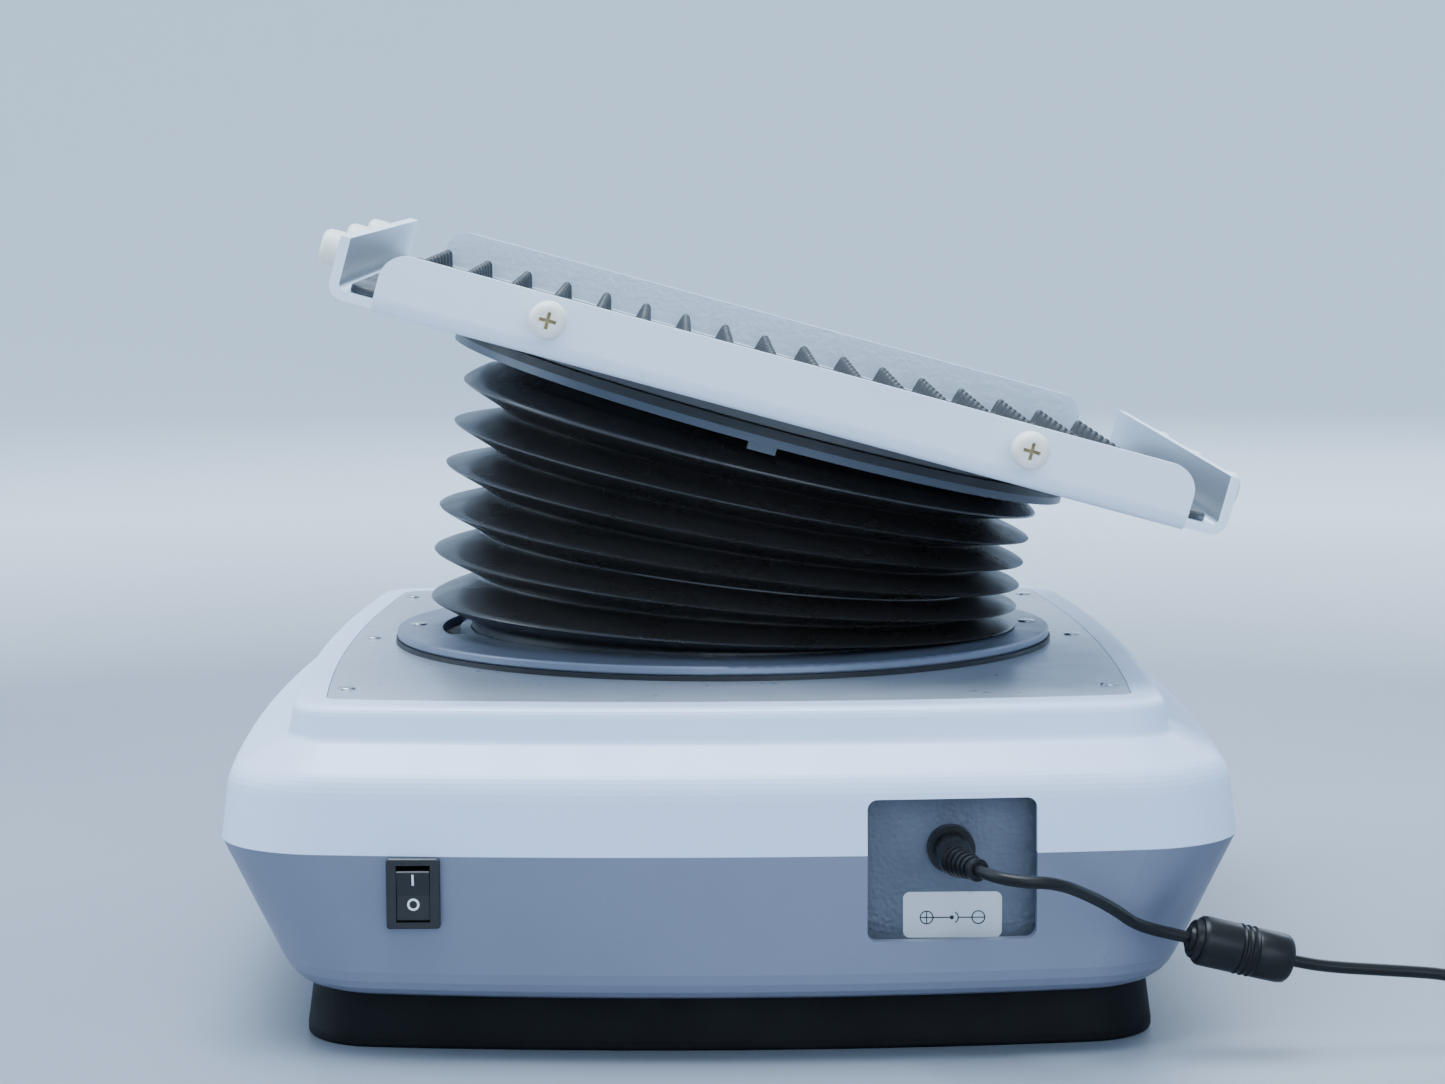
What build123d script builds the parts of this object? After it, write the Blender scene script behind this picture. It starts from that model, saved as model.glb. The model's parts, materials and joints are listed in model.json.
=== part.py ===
"""A nutating (3-D gyratory) platform shaker: a bellows-sealed tray that tilts round a vertical drive.

Frame: millimetres, +Z up, origin on the table under the drive axis. -Y is the rear side, with the
power switch and the inlet; +Y is the operator's side, with the control panel.
"""
import os
from math import asin, cos, degrees, pi, radians, sin, tan

from build123d import *

os.makedirs("parts", exist_ok=True)

# ---- driving dimensions ----
CLEAR = 0.3                      # gap between pieces of different bodies
WALL = 3.0                       # wall of the two housing shells

PAD_TOP = 3.0                    # rubber pad under the whole base
PAN_TOP = 18.5                   # top of the black base pan
PARTING = 61.5                   # joint line between the grey and the white shell
SHOULDER = 82.5                  # where the white shell's side turns in to the ledge
LEDGE = 92.7                     # foot of the raised plateau
DECK = 102.9                     # top of the plateau and of the deck plate
DECK_PLATE = 1.5

# outlines: half width and half depth at the corners, bow of the sides and of the ends, corner radius
PAD_OUTLINE = (127, 152, 4, 10, 24)
PAN_TOP_OUTLINE = (125, 151, 4, 10, 24)
SHELL_FOOT_OUTLINE = (128, 167, 6.5, 12, 30)
PARTING_OUTLINE = (149.8, 168, 7.5, 12, 36)
SHOULDER_OUTLINE = (147.4, 166.5, 7.5, 12, 36)
LEDGE_OUTLINE = (130, 157.5, 6.5, 10.5, 17)
PLATEAU_OUTLINE = (128.5, 156, 6.5, 10.5, 15)
PLATE_OUTLINE = (120, 143.5, 6, 10.5, 5)

RING_R = 110.8                   # clamp ring on the deck
RING_BORE = 86.0
RING_THICK = 3.0
GASKET = 1.6
RING_TOP = DECK + GASKET + RING_THICK

# tray pose at rest: turned by TILT_X about Y, then by TILT_Y about X
TILT_X = 15.37
TILT_Y = 1.44
PIVOT_Z = 133.7                  # where the inclined axis crosses the drive axis
TRAY_H = 56.3                    # tray underside above the pivot, along the inclined axis
TRAY = 280.0
SHEET = 3.0
FLANGE_TOP = 18.7
FLANGE_LENGTH = 250.0
TRAY_BEND = 5.0
FLANGE_SCREW_PITCH = 73.5
FLANGE_SCREW_H = 11.7
MAT = 2.5
PEG_PITCH = 15.3
PEG_COUNT = 17
PEG_H = 6.0
TOP_RING_R = 106.0
DISC = 5.2                       # mounting disc between the tray and the upper gasket
DISC_R = 105.0
TOP_GASKET = 2.8
TOP_RING = 2.5
TOP_STACK = DISC + TOP_GASKET + TOP_RING

SHAFT_R = 7.5
JOURNAL_R = 10.0
RUNNING = 0.05                   # radial running clearance
CHASSIS = 44.0                   # underside of the chassis plate
CHASSIS_THICK = 4.0
MOTOR_AT = (0.0, 96.0)
PULLEY_R = 48.0
MOTOR_PULLEY_R = 16.0
PULLEY_Z = (26.0, 38.0)

# rear openings
SWITCH_AT = (-92.0, 51.0)        # x, z of the rocker switch
SWITCH_BEZEL = (15.6, 20.6)
POCKET_X = (39.0, 88.4)          # inlet opening in the shells
POCKET_Z = (36.0, 77.6)
POCKET_BACK = -164.0
JACK_AT = (64.2, 61.0)

# operator's panel
PANEL_X = (-88.0, 88.0)
PANEL_Z = (38.0, 80.0)
PANEL_FRONT = 181.0
KNOBS = {"speed": -8.0, "timer": -42.0}
KNOB_Z = 59.0
KEY_X = -71.0

NORMAL = Vector(
    sin(radians(TILT_X)),
    -sin(radians(TILT_Y)) * cos(radians(TILT_X)),
    cos(radians(TILT_Y)) * cos(radians(TILT_X)),
)
ACROSS = Vector(
    cos(radians(TILT_X)),
    sin(radians(TILT_Y)) * sin(radians(TILT_X)),
    -cos(radians(TILT_Y)) * sin(radians(TILT_X)),
)
PIVOT = Vector(0, 0, PIVOT_Z)
TILT = degrees(asin((NORMAL.X**2 + NORMAL.Y**2) ** 0.5))
DOWNHILL = Vector(NORMAL.X, NORMAL.Y, 0).normalized()


def inclined(height):
    """The plane across the inclined axis at a height above the pivot, square to the tray."""
    return Plane(origin=PIVOT + NORMAL * height, x_dir=ACROSS, z_dir=NORMAL)


def save(part, name):
    part.label = name
    export_step(part, f"parts/{name}.step")


def bowed(half_x, half_y, bow_x, bow_y, corner):
    """A rectangle with bowed sides and round corners."""
    a, b, c, d = (-half_x, -half_y), (half_x, -half_y), (half_x, half_y), (-half_x, half_y)
    with BuildSketch() as outline:
        with BuildLine():
            ThreePointArc(a, (0, -half_y - bow_y), b)
            ThreePointArc(b, (half_x + bow_x, 0), c)
            ThreePointArc(c, (0, half_y + bow_y), d)
            ThreePointArc(d, (-half_x - bow_x, 0), a)
        make_face()
        fillet(outline.vertices(), corner)
    return outline.sketch_local


def between(first, second, share):
    """The level a share of the way from one (z, outline) level to another."""
    outline = tuple(a + (b - a) * share for a, b in zip(first[1], second[1]))
    return first[0] + (second[0] - first[0]) * share, outline


def eased(before, corner, after, reach_before, reach_after, steps=5):
    """Levels that round off a corner level, out to a share of the way to its two neighbours."""
    start, end = between(corner, before, reach_before), between(corner, after, reach_after)
    for step in range(steps + 1):
        share = step / steps
        yield between(between(start, corner, share), between(corner, end, share), share)


def shrunk(outline, by):
    half_x, half_y, bow_x, bow_y, corner = outline
    return half_x - by, half_y - by, bow_x, bow_y, max(corner - by, 2)


def bowed_loft(*levels):
    """A solid lofted through (z, outline) levels."""
    with BuildPart() as block:
        for z, outline in levels:
            with BuildSketch(Plane.XY.offset(z)):
                add(bowed(*outline))
        loft(ruled=True)
    return block.part


# ---- base: pad, pan and shells ----
def rear_opening(x_range, z_range, corner, depth=(-195.0, -160.0)):
    """A block along Y that cuts a round-cornered rectangle through a wall."""
    width, height = x_range[1] - x_range[0], z_range[1] - z_range[0]
    middle = (sum(x_range) / 2, sum(z_range) / 2)
    with BuildPart() as block:
        with BuildSketch(Plane(origin=(middle[0], depth[1], middle[1]), x_dir=(1, 0, 0), z_dir=(0, -1, 0))):
            RectangleRounded(width, height, corner)
        extrude(amount=depth[1] - depth[0])
    return block.part


SWITCH_BODY = (SWITCH_BEZEL[0] - 2.2, SWITCH_BEZEL[1] - 2.0)
SWITCH_SPAN = [(at - size / 2, at + size / 2) for at, size in zip(SWITCH_AT, SWITCH_BODY)]
SWITCH_CORNER = 0.5
switch_opening = rear_opening(*SWITCH_SPAN, SWITCH_CORNER)
pocket_opening = rear_opening(POCKET_X, POCKET_Z, 3)
panel_opening = rear_opening(PANEL_X, PANEL_Z, 6, (155.0, 195.0))

with BuildPart() as foot_pad:
    with BuildSketch():
        add(bowed(*PAD_OUTLINE))
    extrude(amount=PAD_TOP)
    fillet(foot_pad.edges().group_by(Axis.Z)[0], 1.2)
save(foot_pad.part, "foot_pad")

PAN_FLOOR = PAD_TOP + WALL
STANDOFFS = [(x, y) for x in (-95, 95) for y in (-110, 125)]
with BuildPart() as base_pan:
    add(bowed_loft((PAD_TOP, PAD_OUTLINE), (PAN_TOP, PAN_TOP_OUTLINE)))
    with BuildSketch(Plane.XY.offset(PAN_FLOOR)):
        add(bowed(*shrunk(PAN_TOP_OUTLINE, WALL + 1)))
    extrude(amount=PAN_TOP, mode=Mode.SUBTRACT)
save(base_pan.part, "base_pan")

SHELL_FLOOR = PAN_TOP + WALL
FLOOR_LEVEL = (PAN_TOP, shrunk(SHELL_FOOT_OUTLINE, 8))
FOOT_LEVEL = (PAN_TOP, SHELL_FOOT_OUTLINE)
PARTING_LEVEL = (PARTING, PARTING_OUTLINE)
SHOULDER_LEVEL = (SHOULDER, SHOULDER_OUTLINE)
LEDGE_LEVEL = (LEDGE, LEDGE_OUTLINE)
PLATEAU_LEVEL = (DECK, PLATEAU_OUTLINE)
RIM_LEVEL = (DECK, shrunk(PLATEAU_OUTLINE, 3))
lower_block = bowed_loft(*eased(FLOOR_LEVEL, FOOT_LEVEL, PARTING_LEVEL, 1, 0.19), PARTING_LEVEL)
upper_block = bowed_loft(
    PARTING_LEVEL,
    *eased(PARTING_LEVEL, SHOULDER_LEVEL, LEDGE_LEVEL, 0.24, 0.22),
    *eased(SHOULDER_LEVEL, LEDGE_LEVEL, PLATEAU_LEVEL, 0.07, 0.15),
    *eased(LEDGE_LEVEL, PLATEAU_LEVEL, RIM_LEVEL, 0.3, 1),
)
lower_cavity = bowed_loft(
    (SHELL_FLOOR, shrunk(SHELL_FOOT_OUTLINE, WALL + 4)),
    (SHELL_FLOOR + 6, shrunk(between(FOOT_LEVEL, PARTING_LEVEL, 0.2)[1], WALL + 1)),
    (PARTING, shrunk(PARTING_OUTLINE, WALL)),
)
upper_cavity = bowed_loft(
    (PARTING, shrunk(PARTING_OUTLINE, WALL)),
    *((z - WALL, shrunk(outline, WALL)) for z, outline in (SHOULDER_LEVEL, LEDGE_LEVEL, PLATEAU_LEVEL)),
)

with BuildPart() as lower_housing:
    add(lower_block)
    add(lower_cavity, mode=Mode.SUBTRACT)
    with BuildSketch(Plane.XY.offset(PAN_TOP)):
        add(bowed(*shrunk(PAN_TOP_OUTLINE, 14)))
    extrude(amount=WALL, mode=Mode.SUBTRACT)
    for cut in (switch_opening, pocket_opening, panel_opening):
        add(cut, mode=Mode.SUBTRACT)
save(lower_housing.part, "lower_housing")

PLATE_SCREWS = [(x, y) for x in (-116, 116) for y in (-123, 123)] + [(-119.5, 0), (119.5, 0)]
PLATE_SCREW_R = 1.4
with BuildPart() as upper_housing:
    add(upper_block)
    add(upper_cavity, mode=Mode.SUBTRACT)
    with BuildSketch(Plane.XY.offset(DECK - WALL)):
        add(bowed(*shrunk(PLATE_OUTLINE, 8)))
    extrude(amount=WALL, mode=Mode.SUBTRACT)
    with BuildSketch(Plane.XY.offset(DECK - DECK_PLATE)):
        add(bowed(*PLATE_OUTLINE))
    extrude(amount=DECK_PLATE, mode=Mode.SUBTRACT)
    with BuildSketch(Plane.XY.offset(DECK - WALL)):
        with Locations(*PLATE_SCREWS):
            Circle(PLATE_SCREW_R)
    extrude(amount=WALL, mode=Mode.SUBTRACT)
    for cut in (pocket_opening, panel_opening):
        add(cut, mode=Mode.SUBTRACT)
save(upper_housing.part, "upper_housing")

# ---- deck: plate, clamp ring, gasket and screws ----
DECK_BORE = 72.0
RING_SCREWS = [(-104, 0), (104, 0)]
RING_SCREW_R = 1.5
with BuildPart() as deck_plate:
    with BuildSketch(Plane.XY.offset(DECK - DECK_PLATE)):
        add(bowed(*shrunk(PLATE_OUTLINE, 0.25)))
        Circle(DECK_BORE, mode=Mode.SUBTRACT)
        with Locations(*RING_SCREWS):
            Circle(RING_SCREW_R, mode=Mode.SUBTRACT)
        with Locations(*PLATE_SCREWS):
            Circle(PLATE_SCREW_R, mode=Mode.SUBTRACT)
    extrude(amount=DECK_PLATE)
save(deck_plate.part, "deck_plate")


def pan_screw(x, y, seat, shank_r, depth, head_r=2.7, head_h=0.6):
    """A low-headed screw standing in a hole, its head on the seat."""
    with BuildPart() as screw:
        with Locations((x, y, seat - depth)):
            Cylinder(shank_r, depth, align=(Align.CENTER, Align.CENTER, Align.MIN))
        with Locations((x, y, seat)):
            Cylinder(head_r, head_h, align=(Align.CENTER, Align.CENTER, Align.MIN))
        fillet(screw.edges().group_by(Axis.Z)[-1], head_h * 0.6)
    return screw.part


with BuildPart() as ring_gasket:
    with BuildSketch(Plane.XY.offset(DECK)):
        Circle(RING_R + 0.5)
        Circle(RING_BORE + 0.4, mode=Mode.SUBTRACT)
        with Locations(*RING_SCREWS):
            Circle(RING_SCREW_R, mode=Mode.SUBTRACT)
    extrude(amount=GASKET)
save(ring_gasket.part, "ring_gasket")

SLOT_RADII = (89.5, 95.5)
SLOT_HALF_ANGLE = 17
with BuildPart() as base_ring:
    with BuildSketch(Plane.XY.offset(DECK + GASKET)):
        Circle(RING_R)
        Circle(RING_BORE, mode=Mode.SUBTRACT)
        with Locations(*RING_SCREWS):
            Circle(RING_SCREW_R, mode=Mode.SUBTRACT)
        for side in (0, 180):
            with BuildLine():
                first = side - SLOT_HALF_ANGLE
                outer_arc = CenterArc((0, 0), SLOT_RADII[1], first, 2 * SLOT_HALF_ANGLE)
                inner_arc = CenterArc((0, 0), SLOT_RADII[0], first, 2 * SLOT_HALF_ANGLE)
                Line(outer_arc @ 0, inner_arc @ 0)
                Line(outer_arc @ 1, inner_arc @ 1)
            make_face(mode=Mode.SUBTRACT)
    extrude(amount=RING_THICK)
    fillet(base_ring.edges().filter_by(GeomType.CIRCLE).sort_by(SortBy.RADIUS)[-2:], 0.8)
save(base_ring.part, "base_ring")

plate_screws = [pan_screw(x, y, DECK, PLATE_SCREW_R, 5) for x, y in PLATE_SCREWS]
ring_screws = [pan_screw(x, y, RING_TOP, RING_SCREW_R, 8, 2.8) for x, y in RING_SCREWS]
save(Compound(children=plate_screws + ring_screws), "deck_screws")

# ---- inside the base: chassis, bearings, motor, belt and board ----
CHASSIS_TOP = CHASSIS + CHASSIS_THICK
BEARING = (17.5, 11.0)           # outer radius and width of the main bearings
HOUSING_TOP = DECK + 0.7
HOUSING_FLANGE = 6.0
HOUSING_BOLT_R = 42.0
MOTOR_R, MOTOR_TOP = 21.0, 95.0
MOTOR_PILOT_R = 11.0
MOTOR_SHAFT_R = 4.0
MOTOR_BOLT_R = 15.5
SCREW_R = 2.0

with BuildPart() as chassis_plate:
    with BuildSketch(Plane.XY.offset(CHASSIS)):
        with Locations((0, 7)):
            RectangleRounded(214, 262, 8)
        Circle(14, mode=Mode.SUBTRACT)
        with Locations(MOTOR_AT):
            Circle(MOTOR_PILOT_R, mode=Mode.SUBTRACT)
            with PolarLocations(MOTOR_BOLT_R, 4, 45):
                Circle(SCREW_R, mode=Mode.SUBTRACT)
        with PolarLocations(HOUSING_BOLT_R, 4, 45):
            Circle(SCREW_R, mode=Mode.SUBTRACT)
        with Locations(*STANDOFFS):
            Circle(SCREW_R, mode=Mode.SUBTRACT)
    extrude(amount=CHASSIS_THICK)
save(chassis_plate.part, "chassis_plate")

with BuildPart() as bearing_housing:
    with BuildSketch(Plane.XZ):
        with BuildLine():
            Polyline(
                (BEARING[0], CHASSIS_TOP), (50, CHASSIS_TOP), (50, CHASSIS_TOP + HOUSING_FLANGE),
                (27, CHASSIS_TOP + HOUSING_FLANGE), (24, HOUSING_TOP), (BEARING[0], HOUSING_TOP),
                (BEARING[0], HOUSING_TOP - BEARING[1]), (13, HOUSING_TOP - BEARING[1]),
                (13, CHASSIS_TOP + BEARING[1]), (BEARING[0], CHASSIS_TOP + BEARING[1]), close=True,
            )
        make_face()
    revolve(axis=Axis.Z)
    with BuildSketch(Plane.XY.offset(CHASSIS_TOP)):
        with PolarLocations(HOUSING_BOLT_R, 4, 45):
            Circle(SCREW_R)
    extrude(amount=HOUSING_FLANGE, mode=Mode.SUBTRACT)
save(bearing_housing.part, "bearing_housing")


def ball_bearing(bore_r, outer_r, width):
    """A shielded bearing standing on z = 0: a ring with a shallow shield recess in each face."""
    step = (outer_r - bore_r) * 0.28
    with BuildPart() as bearing:
        with BuildSketch():
            Circle(outer_r)
            Circle(bore_r, mode=Mode.SUBTRACT)
        extrude(amount=width)
        for z in (0, width - 0.6):
            with BuildSketch(Plane.XY.offset(z)):
                Circle(outer_r - step)
                Circle(bore_r + step, mode=Mode.SUBTRACT)
            extrude(amount=0.6, mode=Mode.SUBTRACT)
    return bearing.part


main_bearing = ball_bearing(SHAFT_R + RUNNING, *BEARING)
main_levels = (CHASSIS_TOP, HOUSING_TOP - BEARING[1])
save(Compound(children=[main_bearing.moved(Location((0, 0, z))) for z in main_levels]), "main_bearings")


def cap_screw(x, y, seat, depth, head_r=4.0, head_h=4.0, up=1):
    """A socket-head screw: up = 1 stands its head above the seat, -1 hangs it below."""
    axis = Plane(origin=(x, y, seat), z_dir=(0, 0, up))
    with BuildPart() as screw:
        with BuildSketch(axis):
            Circle(SCREW_R)
        extrude(amount=-depth)
        with BuildSketch(axis):
            Circle(head_r)
        extrude(amount=head_h)
        with BuildSketch(axis.offset(head_h)):
            RegularPolygon(head_r * 0.5, 6)
        extrude(amount=-head_h * 0.5, mode=Mode.SUBTRACT)
    return screw.part


def around(radius, centre=(0, 0)):
    """Four places on a circle, at 45 degrees to the axes."""
    half = radius * sin(radians(45))
    return [(centre[0] + x, centre[1] + y) for x in (-half, half) for y in (-half, half)]


FLANGE_SEAT = CHASSIS_TOP + HOUSING_FLANGE
housing_screws = [cap_screw(x, y, FLANGE_SEAT, FLANGE_SEAT - CHASSIS) for x, y in around(HOUSING_BOLT_R)]
save(Compound(children=housing_screws), "housing_screws")
motor_screws = [cap_screw(x, y, CHASSIS, 9, 3.2, 2.5, -1) for x, y in around(MOTOR_BOLT_R, MOTOR_AT)]
save(Compound(children=motor_screws), "motor_screws")

with BuildPart() as gear_motor:
    with BuildSketch(Plane.XY.offset(CHASSIS_TOP)):
        with Locations(MOTOR_AT):
            Circle(MOTOR_R)
    extrude(amount=MOTOR_TOP - CHASSIS_TOP)
    fillet(gear_motor.edges().group_by(Axis.Z)[-1], 3)
    with BuildSketch(Plane.XY.offset(CHASSIS)):
        with Locations(MOTOR_AT):
            Circle(MOTOR_PILOT_R)
    extrude(amount=CHASSIS_THICK)
    with BuildSketch(Plane.XY.offset(CHASSIS)):
        with Locations(MOTOR_AT):
            Circle(MOTOR_SHAFT_R + RUNNING)
    extrude(amount=22.5, mode=Mode.SUBTRACT)
    with BuildSketch(Plane.XY.offset(CHASSIS_TOP)):
        with Locations(*around(MOTOR_BOLT_R, MOTOR_AT)):
            Circle(SCREW_R)
    extrude(amount=5, mode=Mode.SUBTRACT)
save(gear_motor.part, "gear_motor")

with BuildPart() as motor_shaft:
    with BuildSketch(Plane.XY.offset(PULLEY_Z[0] - 2)):
        with Locations(MOTOR_AT):
            Circle(MOTOR_SHAFT_R)
    extrude(amount=CHASSIS + 22 - PULLEY_Z[0] + 2)
save(motor_shaft.part, "motor_shaft")


def pulley(rim_r, bore_r, web_holes=0):
    """A flanged flat pulley between the two PULLEY_Z levels."""
    low, high = PULLEY_Z
    lip = 1.2
    with BuildPart() as wheel:
        lip_r = rim_r + 2.4
        for z, r, thick in ((low, lip_r, lip), (low, rim_r, high - low), (high - lip, lip_r, lip)):
            with BuildSketch(Plane.XY.offset(z)):
                Circle(r)
            extrude(amount=thick)
        with BuildSketch(Plane.XY.offset(low)):
            Circle(bore_r)
            if web_holes:
                with PolarLocations(rim_r * 0.58, web_holes):
                    Circle(rim_r * 0.19)
        extrude(amount=high - low, mode=Mode.SUBTRACT)
    return wheel.part


save(pulley(PULLEY_R, SHAFT_R, 6), "driven_pulley")
save(pulley(MOTOR_PULLEY_R, MOTOR_SHAFT_R).moved(Location((*MOTOR_AT, 0))), "motor_pulley")

BELT = 1.5
with BuildPart() as drive_belt:
    for grow, mode in ((CLEAR + BELT, Mode.ADD), (CLEAR, Mode.SUBTRACT)):
        with BuildSketch(Plane.XY.offset(PULLEY_Z[0] + 2)):
            Circle(PULLEY_R + grow)
            with Locations(MOTOR_AT):
                Circle(MOTOR_PULLEY_R + grow)
            make_hull()
        extrude(amount=PULLEY_Z[1] - PULLEY_Z[0] - 4, mode=mode)
save(drive_belt.part, "drive_belt")

BOARD_AT, BOARD_SIZE, BOARD_Z = (-72, -76), (68, 96), CHASSIS_TOP + 8
BOARD_POSTS = [(BOARD_AT[0] + x, BOARD_AT[1] + y) for x in (-30, 30) for y in (-44, 44)]
with BuildPart() as control_board:
    with BuildSketch(Plane.XY.offset(BOARD_Z)):
        with Locations(BOARD_AT):
            RectangleRounded(*BOARD_SIZE, 2)
    extrude(amount=1.6)
save(control_board.part, "control_board")

# places on the board, then length, width and height
BOARD_PARTS = [
    (-18, 28, 16, 12, 9), (12, 30, 22, 10, 7), (0, 0, 14, 14, 3),
    (-20, -24, 10, 18, 11), (20, -26, 12, 22, 14),
]
with BuildPart() as board_parts:
    for x, y, length, width, height in BOARD_PARTS:
        with Locations((BOARD_AT[0] + x, BOARD_AT[1] + y, BOARD_Z + 1.6)):
            Box(length, width, height, align=(Align.CENTER, Align.CENTER, Align.MIN))
save(board_parts.part, "board_parts")

with BuildPart() as standoffs:
    for base, top, radius, places in (
        (PAN_FLOOR, CHASSIS, 6, STANDOFFS),
        (CHASSIS_TOP, BOARD_Z, 3, BOARD_POSTS),
    ):
        with BuildSketch(Plane.XY.offset(base)):
            with Locations(*places):
                RegularPolygon(radius, 6)
        extrude(amount=top - base)
save(standoffs.part, "standoffs")

# ---- rotor: shaft, inclined hub, counterweight, bellows ----
HUB_BASE = HOUSING_TOP + CLEAR
HUB_TOP = 118.0
HUB_R = 25.0
SHAFT_TOP = 116.0
SEAT_H = 6.0                     # shoulder of the inclined journal
JOURNAL_TOP = 38.0

with BuildPart() as drive_shaft:
    with BuildSketch(Plane.XY.offset(PULLEY_Z[0] - 2)):
        Circle(SHAFT_R)
    extrude(amount=SHAFT_TOP - PULLEY_Z[0] + 2)
    chamfer(drive_shaft.edges().filter_by(GeomType.CIRCLE), 0.8)
save(drive_shaft.part, "drive_shaft")

with BuildPart() as inclined_hub:
    with BuildSketch(Plane.XY.offset(HUB_BASE)):
        Circle(HUB_R)
    extrude(amount=HUB_TOP - HUB_BASE)
    with BuildSketch(inclined(-20)):
        Circle(16)
    extrude(amount=SEAT_H + 20)
    with BuildSketch(inclined(SEAT_H)):
        Circle(JOURNAL_R)
    extrude(amount=JOURNAL_TOP - SEAT_H)
    with BuildSketch(Plane.XY.offset(HUB_BASE)):
        Circle(SHAFT_R)
    extrude(amount=SHAFT_TOP - HUB_BASE, mode=Mode.SUBTRACT)
save(inclined_hub.part, "inclined_hub")

WEIGHT_R = 62.0
with BuildPart() as counterweight:
    uphill = Plane(origin=(0, 0, HUB_BASE + 1), x_dir=-DOWNHILL, z_dir=(0, 0, 1))
    with BuildSketch(uphill):
        Circle(WEIGHT_R)
        Circle(HUB_R, mode=Mode.SUBTRACT)
        with Locations((-WEIGHT_R, 0)):
            Rectangle(2 * WEIGHT_R, 4 * WEIGHT_R, mode=Mode.SUBTRACT)
    extrude(amount=10)
save(counterweight.part, "counterweight")

with BuildPart() as journal_cap:
    for base, r, height in ((JOURNAL_TOP, 13, 2), (JOURNAL_TOP + 2, 6.5, 5)):
        with BuildSketch(inclined(base)):
            Circle(r) if base == JOURNAL_TOP else RegularPolygon(r, 6)
        extrude(amount=height)
save(journal_cap.part, "journal_cap")

BELLOWS_CREST, BELLOWS_VALLEY, BELLOWS_CUFF = 99.5, 84.0, 85.6
BELLOWS_WALL = 2.0
BELLOWS_CRESTS = 6
BELLOWS_FOOT = RING_TOP + CLEAR
FOLDS_TOP = TRAY_H - 4.9         # the folds' spacing is a share of the way from the foot to this height
FIRST_CREST, CREST_STEP = 0.072, 0.148


def bellows_plane(share):
    """The plane of the bellows' cross-section a share of the way up, from level to fully inclined."""
    top = PIVOT + NORMAL * FOLDS_TOP
    sideways = (top.X**2 + top.Y**2) ** 0.5 * share**1.75
    height = BELLOWS_FOOT + (top.Z - BELLOWS_FOOT) * share
    lean = radians(TILT * share**0.62)
    normal = DOWNHILL * sin(lean) + Vector(0, 0, cos(lean))
    return Plane(origin=DOWNHILL * sideways + Vector(0, 0, height), x_dir=(0, 1, 0), z_dir=normal)


def bellows_sections():
    """Planes and outer radii from the lower cuff's end to the upper cuff's end."""
    yield Plane.XY.offset(DECK + CLEAR), BELLOWS_CUFF
    yield bellows_plane(0), BELLOWS_CUFF
    for crest in range(BELLOWS_CRESTS):
        share = FIRST_CREST + CREST_STEP * crest
        yield bellows_plane(share), BELLOWS_CREST
        if crest < BELLOWS_CRESTS - 1:
            yield bellows_plane(share + CREST_STEP / 2), BELLOWS_VALLEY
    yield inclined(TRAY_H - TOP_STACK - CLEAR), BELLOWS_CUFF
    yield inclined(TRAY_H - DISC - CLEAR), BELLOWS_CUFF


with BuildPart() as bellows:
    for wall, mode in ((0, Mode.ADD), (BELLOWS_WALL, Mode.SUBTRACT)):
        for plane, radius in bellows_sections():
            with BuildSketch(plane):
                Circle(radius - wall)
        loft(ruled=True, mode=mode)
save(bellows.part, "bellows")

# ---- tray: hub, bearings, ring, pan, mat and screws, made level and then set on the incline ----
HUB_BEARING = (21.0, 12.0)
HUB_FLANGE_R, HUB_FLANGE = 52.0, 6.0
CUP_R = 27.0
UPPER_SEAT = 36.3
TRAY_SCREW_R = 2.0
HUB_SCREWS = around(40.0)
RING_BOLTS = [(95.5 * cos(radians(a)), 95.5 * sin(radians(a))) for a in range(0, 360, 60)]


def onto_tray(part):
    """Set a piece made level, with the tray's underside at z = 0, on the inclined axis."""
    return part.moved(inclined(TRAY_H).location)


def along_axis(part):
    """Set a piece made on the Z axis, with the pivot at z = 0, on the inclined axis."""
    return part.moved(inclined(0).location)


with BuildPart() as tray_hub:
    with BuildSketch(Plane.XZ):
        with BuildLine():
            Polyline(
                (HUB_BEARING[0], SEAT_H + CLEAR), (CUP_R, SEAT_H + CLEAR), (CUP_R, TRAY_H - HUB_FLANGE),
                (HUB_FLANGE_R, TRAY_H - HUB_FLANGE), (HUB_FLANGE_R, TRAY_H), (16, TRAY_H),
                (16, UPPER_SEAT), (HUB_BEARING[0], UPPER_SEAT), close=True,
            )
        make_face()
    revolve(axis=Axis.Z)
    with BuildSketch(Plane.XY.offset(TRAY_H - HUB_FLANGE)):
        with Locations(*HUB_SCREWS):
            Circle(TRAY_SCREW_R)
    extrude(amount=HUB_FLANGE, mode=Mode.SUBTRACT)
save(along_axis(tray_hub.part), "tray_hub")

hub_bearing = ball_bearing(JOURNAL_R + RUNNING, *HUB_BEARING)
LOWER_SEAT = SEAT_H + 2 * CLEAR
hub_levels = (LOWER_SEAT, UPPER_SEAT - HUB_BEARING[1])
hub_pair = Compound(children=[hub_bearing.moved(Location((0, 0, z))) for z in hub_levels])
save(along_axis(hub_pair), "hub_bearings")
with BuildPart() as bearing_spacer:
    with BuildSketch(Plane.XY.offset(LOWER_SEAT + HUB_BEARING[1])):
        Circle(HUB_BEARING[0])
        Circle(17.5, mode=Mode.SUBTRACT)
    extrude(amount=UPPER_SEAT - LOWER_SEAT - 2 * HUB_BEARING[1])
save(along_axis(bearing_spacer.part), "bearing_spacer")

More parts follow.
